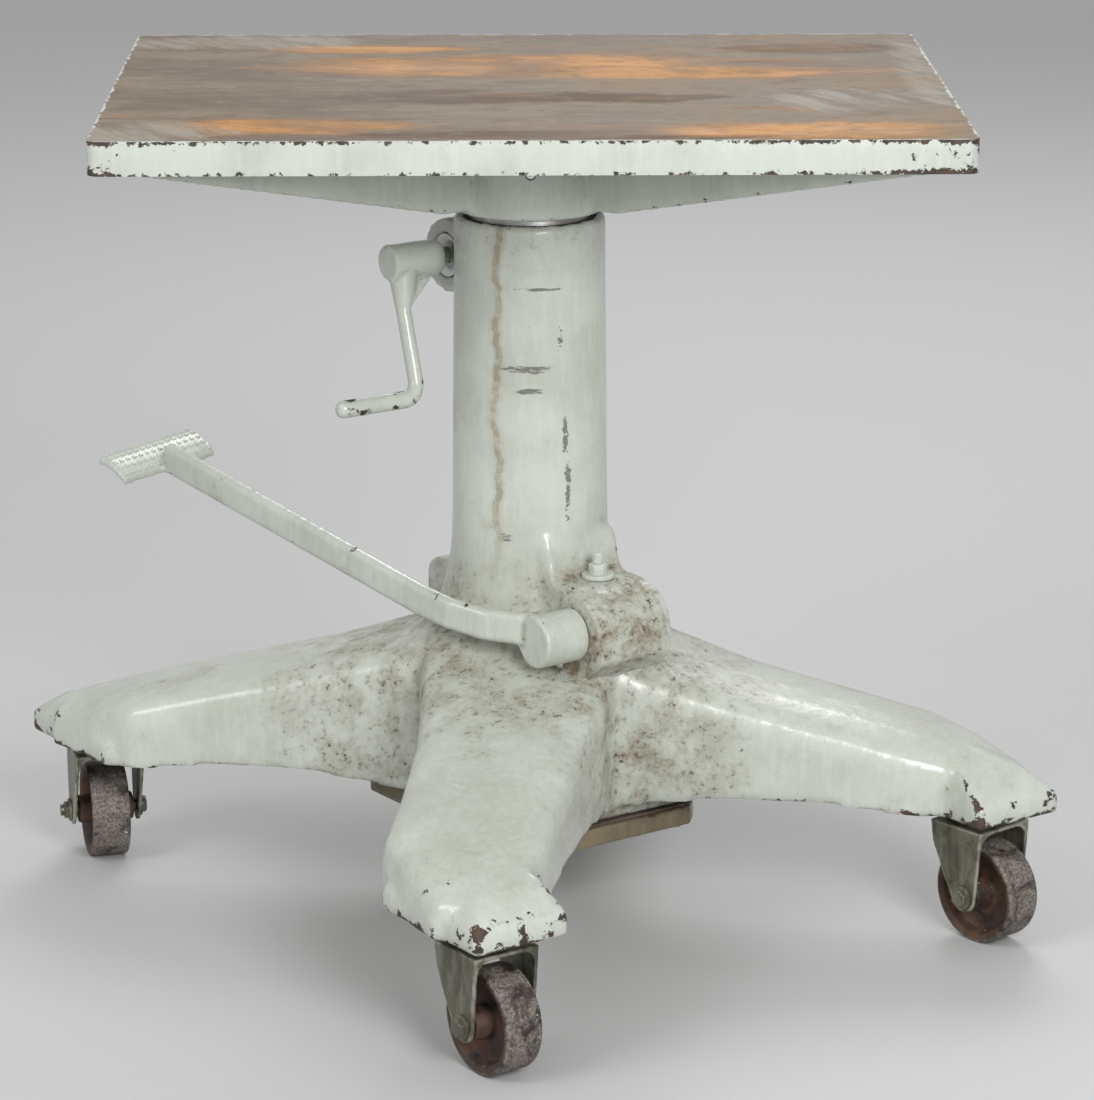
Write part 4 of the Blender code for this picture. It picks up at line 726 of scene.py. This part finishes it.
# %% Hub and ribs
HUB_RADIUS, HUB_DEPTH = RAM_RADIUS + 15 * MM, 92 * MM
RIB_THICK, RIB_DEPTH, RIB_INSET = 12 * MM, 86 * MM, 34 * MM
RIB_START, RIB_BEND = RAM_RADIUS + 8 * MM, HUB_RADIUS + 30 * MM   # where a rib starts, and starts to taper
RIB_BLOCK = RIB_DEPTH + 22 * MM
SCREW_HEIGHT = UNDER_RIM - 45 * MM
UNDER_WEB = TABLE_HEIGHT - PLATE_WEB

hub = rod("table_hub", HUB_RADIUS, (0, 0, UNDER_RIM - HUB_DEPTH), (0, 0, UNDER_WEB + 4 * MM), 96)
reach = math.hypot(TABLE_LENGTH / 2, TABLE_WIDTH / 2) - RIB_INSET
lean = math.atan2(TABLE_WIDTH, TABLE_LENGTH)
ribs = []
for k, angle in enumerate((lean, math.pi - lean, math.pi + lean, -lean), 1):
    rib = settle(start(bpy.ops.mesh.primitive_cube_add, f"rib_{k}", size=1,
                       location=((RIB_START + RIB_BEND) / 2, 0, UNDER_WEB + 4 * MM - RIB_BLOCK / 2),
                       scale=(RIB_BEND - RIB_START, RIB_THICK, RIB_BLOCK)))
    choose(rib, lambda face: face.normal.x > 0.9)
    bpy.ops.mesh.extrude_region_move(TRANSFORM_OT_translate={"value": (reach - RIB_BEND, 0, 0)})
    close()
    choose(rib, lambda vert: vert.co.x > reach - MM and vert.co.z < UNDER_RIM, "VERT")
    bpy.ops.transform.translate(value=(0, 0, RIB_DEPTH - 2 * MM))
    close()
    rib.rotation_euler.z = angle
    ribs.append(settle(rib))
weld(hub, *ribs)
soften(hub, 3.6 * MM, 9)
mark_ridges(hub)
cut(hub, rod("ram_socket", RAM_RADIUS + 0.3 * MM, (0, 0, 0.6), (0, 0, TABLE_HEIGHT - 42 * MM), 96),
    rod("set_screw_hole", 5.3 * MM, (0, -RAM_RADIUS + 9 * MM, SCREW_HEIGHT),
        (0, -HUB_RADIUS - 9 * MM, SCREW_HEIGHT), 24))
hub.rotation_euler.z = TABLE_TURN
settle(hub)
smooth(hub, 50)
keep(hub, "table", "enamel", top_enamel, "tabletop")

# %% [markdown]
# ## Pedal
#
# A flat bar sweeps from a clamped boss on the shaft, past the column, up to a saddle-shaped tread. The
# bar is softened like the other castings. The tread's top has rows of small square studs: one stud is
# modelled with a tapered head, then copied along the tread's curve.

# %% Pedal arm
arm = soften(copy_of("pedal_arm"), 2.1 * MM, 5)
mark_ridges(arm)

# %% Studs on the tread
TREAD_CENTRE = Vector((-176 * MM, SHAFT[1] + 568.5 * MM, SHAFT[2] + 90.5 * MM))
TREAD_TURN, TREAD_ROLL = math.radians(8.5), math.radians(4.7)
TREAD_LENGTH, TREAD_WIDTH, TREAD_THICK, TREAD_SAG = 124 * MM, 44 * MM, 8 * MM, 16 * MM
STUD_ROWS, STUD_COLUMNS, STUD_SIZE, STUD_HEIGHT = 5, 14, 5.2 * MM, 1.5 * MM

across = Vector((math.cos(TREAD_TURN) * math.cos(TREAD_ROLL), math.sin(TREAD_TURN) * math.cos(TREAD_ROLL),
                 math.sin(TREAD_ROLL)))
outward = Vector((-math.sin(TREAD_TURN), math.cos(TREAD_TURN), 0))
stud = settle(start(bpy.ops.mesh.primitive_cube_add, "stud", size=1,
                    scale=(STUD_SIZE, STUD_SIZE, 2 * STUD_HEIGHT)))
choose(stud, lambda face: face.normal.z > 0.9)
bpy.ops.transform.resize(value=(0.72, 0.72, 1))
close()
apply(stud, "BEVEL", width=0.5 * MM, segments=1, limit_method="ANGLE")
studs = []
for row in range(STUD_ROWS):
    share = -0.8 + 1.6 * row / (STUD_ROWS - 1)
    drop = -TREAD_SAG * ((1 - share) / 2) ** 2
    slope = math.atan2(TREAD_SAG * (1 - share) / 2, TREAD_WIDTH / 2)
    for column in range(STUD_COLUMNS):
        along = (column / (STUD_COLUMNS - 1) - 0.5) * (TREAD_LENGTH - 11 * MM)
        copied = bpy.data.objects.new("stud_copy", stud.data.copy())
        bpy.context.scene.collection.objects.link(copied)
        copied.location = (TREAD_CENTRE + across * along + outward * TREAD_WIDTH / 2 * share
                           + Vector((0, 0, drop + TREAD_THICK / 2)))
        copied.rotation_euler = (slope, -TREAD_ROLL, TREAD_TURN)
        studs.append(copied)
bpy.data.objects.remove(stud, do_unlink=True)
tread_studs = settle(weld(*studs))
tread_studs.name = "tread_studs"
keep(tread_studs, "pedal", "enamel", arm_enamel)
keep(arm, "pedal", "enamel", arm_enamel, "pedal_arm")

# %% [markdown]
# ## Lock crank
#
# The crank that clamps the ram: a stout hub, an arm that tapers down to a round rod, and a grip. Like
# the pedal it is one casting, softened with a finer skin because it is small.

# %% Crank
crank = soften(copy_of("lock_crank"), 1.5 * MM, 6)
mark_ridges(crank)
keep(crank, "lock", "enamel", crank_enamel, "lock_crank")

# %% [markdown]
# ## Casters
#
# Each caster has a forged stem, a pressed fork that trails behind it, and an iron wheel on a bolt. The
# wheel is turned: a cylinder whose sides are inset and pushed in to leave a rim, a dished web and a
# long hub. The fork keeps its drawn shape and gets soft pressed edges. The bolt's head and nut are
# hexagons with a turned chamfer, on round washers.

# %% Wheel
WHEEL_RADIUS, WHEEL_HALF, HUB_HALF, WHEEL_HUB = 50.4 * MM, 20 * MM, 29 * MM, 17 * MM
AXLE_RADIUS = 6 * MM
# from the rim to the hub's end: each step inwards on a wheel's side, and how far out it then moves
SIDE_STEPS = ((6.5 * MM, 0), (2.5 * MM, -3 * MM), (3 * MM, -9 * MM), (12 * MM, -1.5 * MM),
              (WHEEL_RADIUS - 24 * MM - WHEEL_HUB, 2 * MM),
              (2.5 * MM, HUB_HALF - WHEEL_HALF + 11.5 * MM))


def build_wheel(name):
    """A wheel lying flat at the origin, its axle along Z."""
    wheel = rod(name, WHEEL_RADIUS, (0, 0, -WHEEL_HALF), (0, 0, WHEEL_HALF), 96)
    for side in (-1, 1):
        choose(wheel, lambda face: face.normal.z * side > 0.9)
        for inwards, outwards in SIDE_STEPS:
            bpy.ops.mesh.inset(thickness=inwards)
            if outwards:
                bpy.ops.transform.translate(value=(0, 0, side * outwards))
        close()
    cut(wheel, rod("axle_bore", AXLE_RADIUS + 0.3 * MM, (0, 0, -0.05), (0, 0, 0.05), 32))
    apply(wheel, "BEVEL", width=2.2 * MM, segments=3, limit_method="ANGLE", angle_limit=math.radians(30))
    ground = wheel.data.attributes.new("ground", "FLOAT", "POINT")
    for vert in wheel.data.vertices:
        out = math.hypot(vert.co.x, vert.co.y)
        ground.data[vert.index].value = max(0.0, min(1.0, (out - WHEEL_RADIUS + 4 * MM) / (3.5 * MM)))
    return smooth(wheel, 40)


# %% Bolt and nut
def build_hexagon(name, radius, thick, washer):
    """A hexagon with a turned chamfer on a washer, standing on z = 0."""
    head = rod(name, radius, (0, 0, 1.5 * MM), (0, 0, thick), 6)
    choose(head, lambda face: face.normal.z > 0.9)
    bpy.ops.mesh.inset(thickness=1.2 * MM)
    bpy.ops.transform.translate(value=(0, 0, 0.9 * MM))
    close()
    apply(head, "BEVEL", width=0.5 * MM, segments=2, limit_method="ANGLE")
    disc = rod("washer", washer, (0, 0, 0), (0, 0, 2 * MM), 40)
    choose(disc, lambda face: face.normal.z > 0.9)
    bpy.ops.mesh.inset(thickness=0.8 * MM)
    bpy.ops.transform.translate(value=(0, 0, 0.5 * MM))
    close()
    return smooth(weld(head, disc), 35)


# %% Four casters
BOLT_HEX, BOLT_THICK, BOLT_WASHER = 9.5 * MM, 6.5 * MM, 12 * MM
FORK_SIDE, SHANK_START, SHANK_END = 36.3 * MM, 36 * MM, 47 * MM   # from the wheel's middle, along the axle

for k in range(1, 5):
    fork_name, wheel_name = f"caster_{k}_fork", f"caster_{k}_wheel"
    joint = next(j for j in frame["joints"] if j["name"] == f"caster_{k}_roll")
    centre, axle = Vector(joint["pos_m"]), Vector(joint["axis"]).normalized()
    turn = axle.to_track_quat("Z", "Y").to_euler()

    fork = soften(copy_of(fork_name), 1.5 * MM, 3)
    mark_ridges(fork)
    keep(fork, fork_name, "fork_steel", fork_steel, fork_name)

    wheel = build_wheel(f"wheel_{k}")
    wheel.location, wheel.rotation_euler = centre, turn
    settle(wheel)
    keep(wheel, wheel_name, "wheel_iron", wheel_iron, wheel_name)

    for side, node_name in ((-1, f"caster_{k}_axle"), (1, f"caster_{k}_axle_nut")):
        head = build_hexagon(f"{node_name}_piece", BOLT_HEX, BOLT_THICK, BOLT_WASHER)
        facing = (axle * side).to_track_quat("Z", "Y").to_euler()
        head.location, head.rotation_euler = centre + axle * side * FORK_SIDE, facing
        settle(head)
        if side == -1:
            shank = rod(f"shank_{k}", AXLE_RADIUS, centre - axle * SHANK_START, centre + axle * SHANK_END, 32)
            weld(head, shank)
        keep(head, fork_name, "fork_steel", fork_steel, node_name)

# %% [markdown]
# ## Stop stud, filler plug and the oil well's cover
#
# On the lug stands the stop stud with its washer and lock nut; into the small lug at the back goes the
# filler plug. The well is closed below by a shallow cover on a card gasket. The cover is a pressed
# tray, softened like a casting. The stud gets real thread crests: rings pushed in and out as it rises.

# %% Stop stud
stud_low, stud_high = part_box("stop_stud")
stud_x, stud_y = (stud_low.x + stud_high.x) / 2, (stud_low.y + stud_high.y) / 2
_, nut_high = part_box("stop_nut")
washer_low, washer_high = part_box("stop_washer")
THREAD_PITCH, CREST = 1.6 * MM, 1.12

stop = rod("stop_stud_piece", 4.6 * MM, (stud_x, stud_y, stud_low.z), (stud_x, stud_y, nut_high.z), 32)
choose(stop, lambda face: face.normal.z > 0.9)
for _ in range(int((stud_high.z - nut_high.z - 2 * MM) / THREAD_PITCH)):
    for grow in (CREST, 1 / CREST):
        bpy.ops.mesh.extrude_region_move(TRANSFORM_OT_translate={"value": (0, 0, THREAD_PITCH / 2)})
        bpy.ops.transform.resize(value=(grow, grow, 1))
bpy.ops.mesh.extrude_region_move(TRANSFORM_OT_translate={"value": (0, 0, 1.5 * MM)})
bpy.ops.transform.resize(value=(0.75, 0.75, 1))
close()
smooth(stop, 25)
keep(stop, "pedestal_frame", "enamel", small_enamel, "stop_stud")

nut = build_hexagon("stop_nut_piece", 9.4 * MM, nut_high.z - washer_high.z - 0.9 * MM, 9 * MM)
nut.location = (stud_x, stud_y, washer_high.z)
settle(nut)
keep(nut, "pedestal_frame", "enamel", small_enamel, "stop_nut")

washer = rod("stop_washer_piece", 16.2 * MM, (stud_x, stud_y, washer_low.z),
             (stud_x, stud_y, washer_high.z), 64)
choose(washer, lambda face: face.normal.z > 0.9)
bpy.ops.mesh.inset(thickness=2.5 * MM)
bpy.ops.mesh.inset(thickness=0.5 * MM)
close()
cut(washer, rod("washer_bore", 5.3 * MM, (stud_x, stud_y, washer_low.z - 0.01),
                (stud_x, stud_y, washer_high.z + 0.01), 32))
apply(washer, "BEVEL", width=1 * MM, segments=3, limit_method="ANGLE")
smooth(washer, 35)
keep(washer, "pedestal_frame", "enamel", small_enamel, "stop_washer")

plug = soften(copy_of("filler_plug"), 0.9 * MM, 3)
mark_ridges(plug)
keep(plug, "pedestal_frame", "bright_steel", small_enamel, "filler_plug")

# %% Cover of the oil well
cover = soften(copy_of("sump_cover"), 2.2 * MM, 4)
mark_ridges(cover)
keep(cover, "pedestal_frame", "cover_paint", cover_paint, "sump_cover")

# %% [markdown]
# ## Turned parts
#
# The ram, the stems, the screws and the pump are turned or drilled, so their CAD shapes are right but
# faceted. The ram is built again as a hollow cylinder; the stems, the screws, the shaft and the cotters are
# copied, merged, given a small bevel on their sharp edges and smoothed by angle. The pump and the other
# parts sealed inside keep their CAD mesh and take the finish of their slot.

# %% Smooth copies of what can be seen
RAM_FOOT, RAM_WALL, RAM_HEAD = 0.215, 8 * MM, 20 * MM
ram_low, ram_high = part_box("ram")

ram = rod("ram_piece", RAM_RADIUS - 0.1 * MM, ram_low + Vector((RAM_RADIUS, RAM_RADIUS, 0)),
          (0, 0, ram_high.z), 128)
choose(ram, lambda face: face.normal.z < -0.9)
bpy.ops.mesh.inset(thickness=RAM_WALL)
bpy.ops.mesh.extrude_region_move(
    TRANSFORM_OT_translate={"value": (0, 0, ram_high.z - RAM_FOOT - RAM_HEAD)})
close()
apply(ram, "BEVEL", width=1.5 * MM, segments=3, limit_method="ANGLE")
smooth(ram)
keep(ram, "ram", "bright_steel", bright_steel, "ram")

SEEN = {f"caster_{k}_stem": "pedestal_frame" for k in range(1, 5)}
SEEN.update({f"cover_screw_{k}": "pedestal_frame" for k in range(1, 5)})
SEEN.update({"lock_screw": "lock", "pedal_shaft": "pedal", "pedal_set_screw": "pedal",
             "table_set_screw": "table", "cotter_near": "pedestal_frame", "cotter_far": "cotter"})
SLOT_OF = {part["node"]: part["material_slot"] for part in frame["record"]["subparts"]}
for name, body in SEEN.items():
    piece = copy_of(name)
    apply(piece, "BEVEL", width=0.5 * MM, segments=2, limit_method="ANGLE", angle_limit=math.radians(35))
    smooth(piece)
    keep(piece, body, SLOT_OF[name], FINISHES[SLOT_OF[name]], name)

# %% Finish of every other part
for name, part in frame["nodes"].items():
    if not part.hide_render:
        for holder in part.material_slots:
            holder.material = FINISHES[SLOT_OF[name]]
        print("kept as drawn:", name)

# %% [markdown]
# ## Floor and light
#
# A pale floor and a nearly white world make the plain studio. Two large soft lamps, one at the camera's
# left and one in front, and one behind give the enamel long soft highlights without hard shadows.

# %% Floor
FLOOR_GREY = (0.50, 0.50, 0.50, 1)

floor = start(bpy.ops.mesh.primitive_plane_add, "floor", size=60)
floor_finish, _, floor_shader = new_finish("floor_paint", 0.6)
floor_shader.inputs["Base Color"].default_value = FLOOR_GREY
floor.data.materials.append(floor_finish)

# %% Lamps
SKY_STRENGTH = 0.60
LIT_SPOT = Vector((0, 0, 0.45))   # the middle of the table, which every lamp faces

world = bpy.data.worlds.new("studio")
world.use_nodes = True
world.node_tree.nodes["Background"].inputs["Color"].default_value = (1, 1, 1, 1)
world.node_tree.nodes["Background"].inputs["Strength"].default_value = SKY_STRENGTH
bpy.context.scene.world = world
bpy.context.scene.view_settings.view_transform = "Standard"


def lamp(name, place, size, watts):
    """A square area lamp that faces the table."""
    light = bpy.data.objects.new(name, bpy.data.lights.new(name, "AREA"))
    bpy.context.scene.collection.objects.link(light)
    light.data.size = size
    light.data.energy = watts
    light.location = place
    light.rotation_euler = (LIT_SPOT - Vector(place)).to_track_quat("-Z", "Y").to_euler()
    return light


lamp("left_lamp", (-3.4, -0.2, 2.8), 1.6, 50)
lamp("front_lamp", (-0.9, -3.4, 2.0), 1.3, 96)
lamp("back_lamp", (2.4, 2.4, 3.2), 1.8, 60)
print("lamps placed")
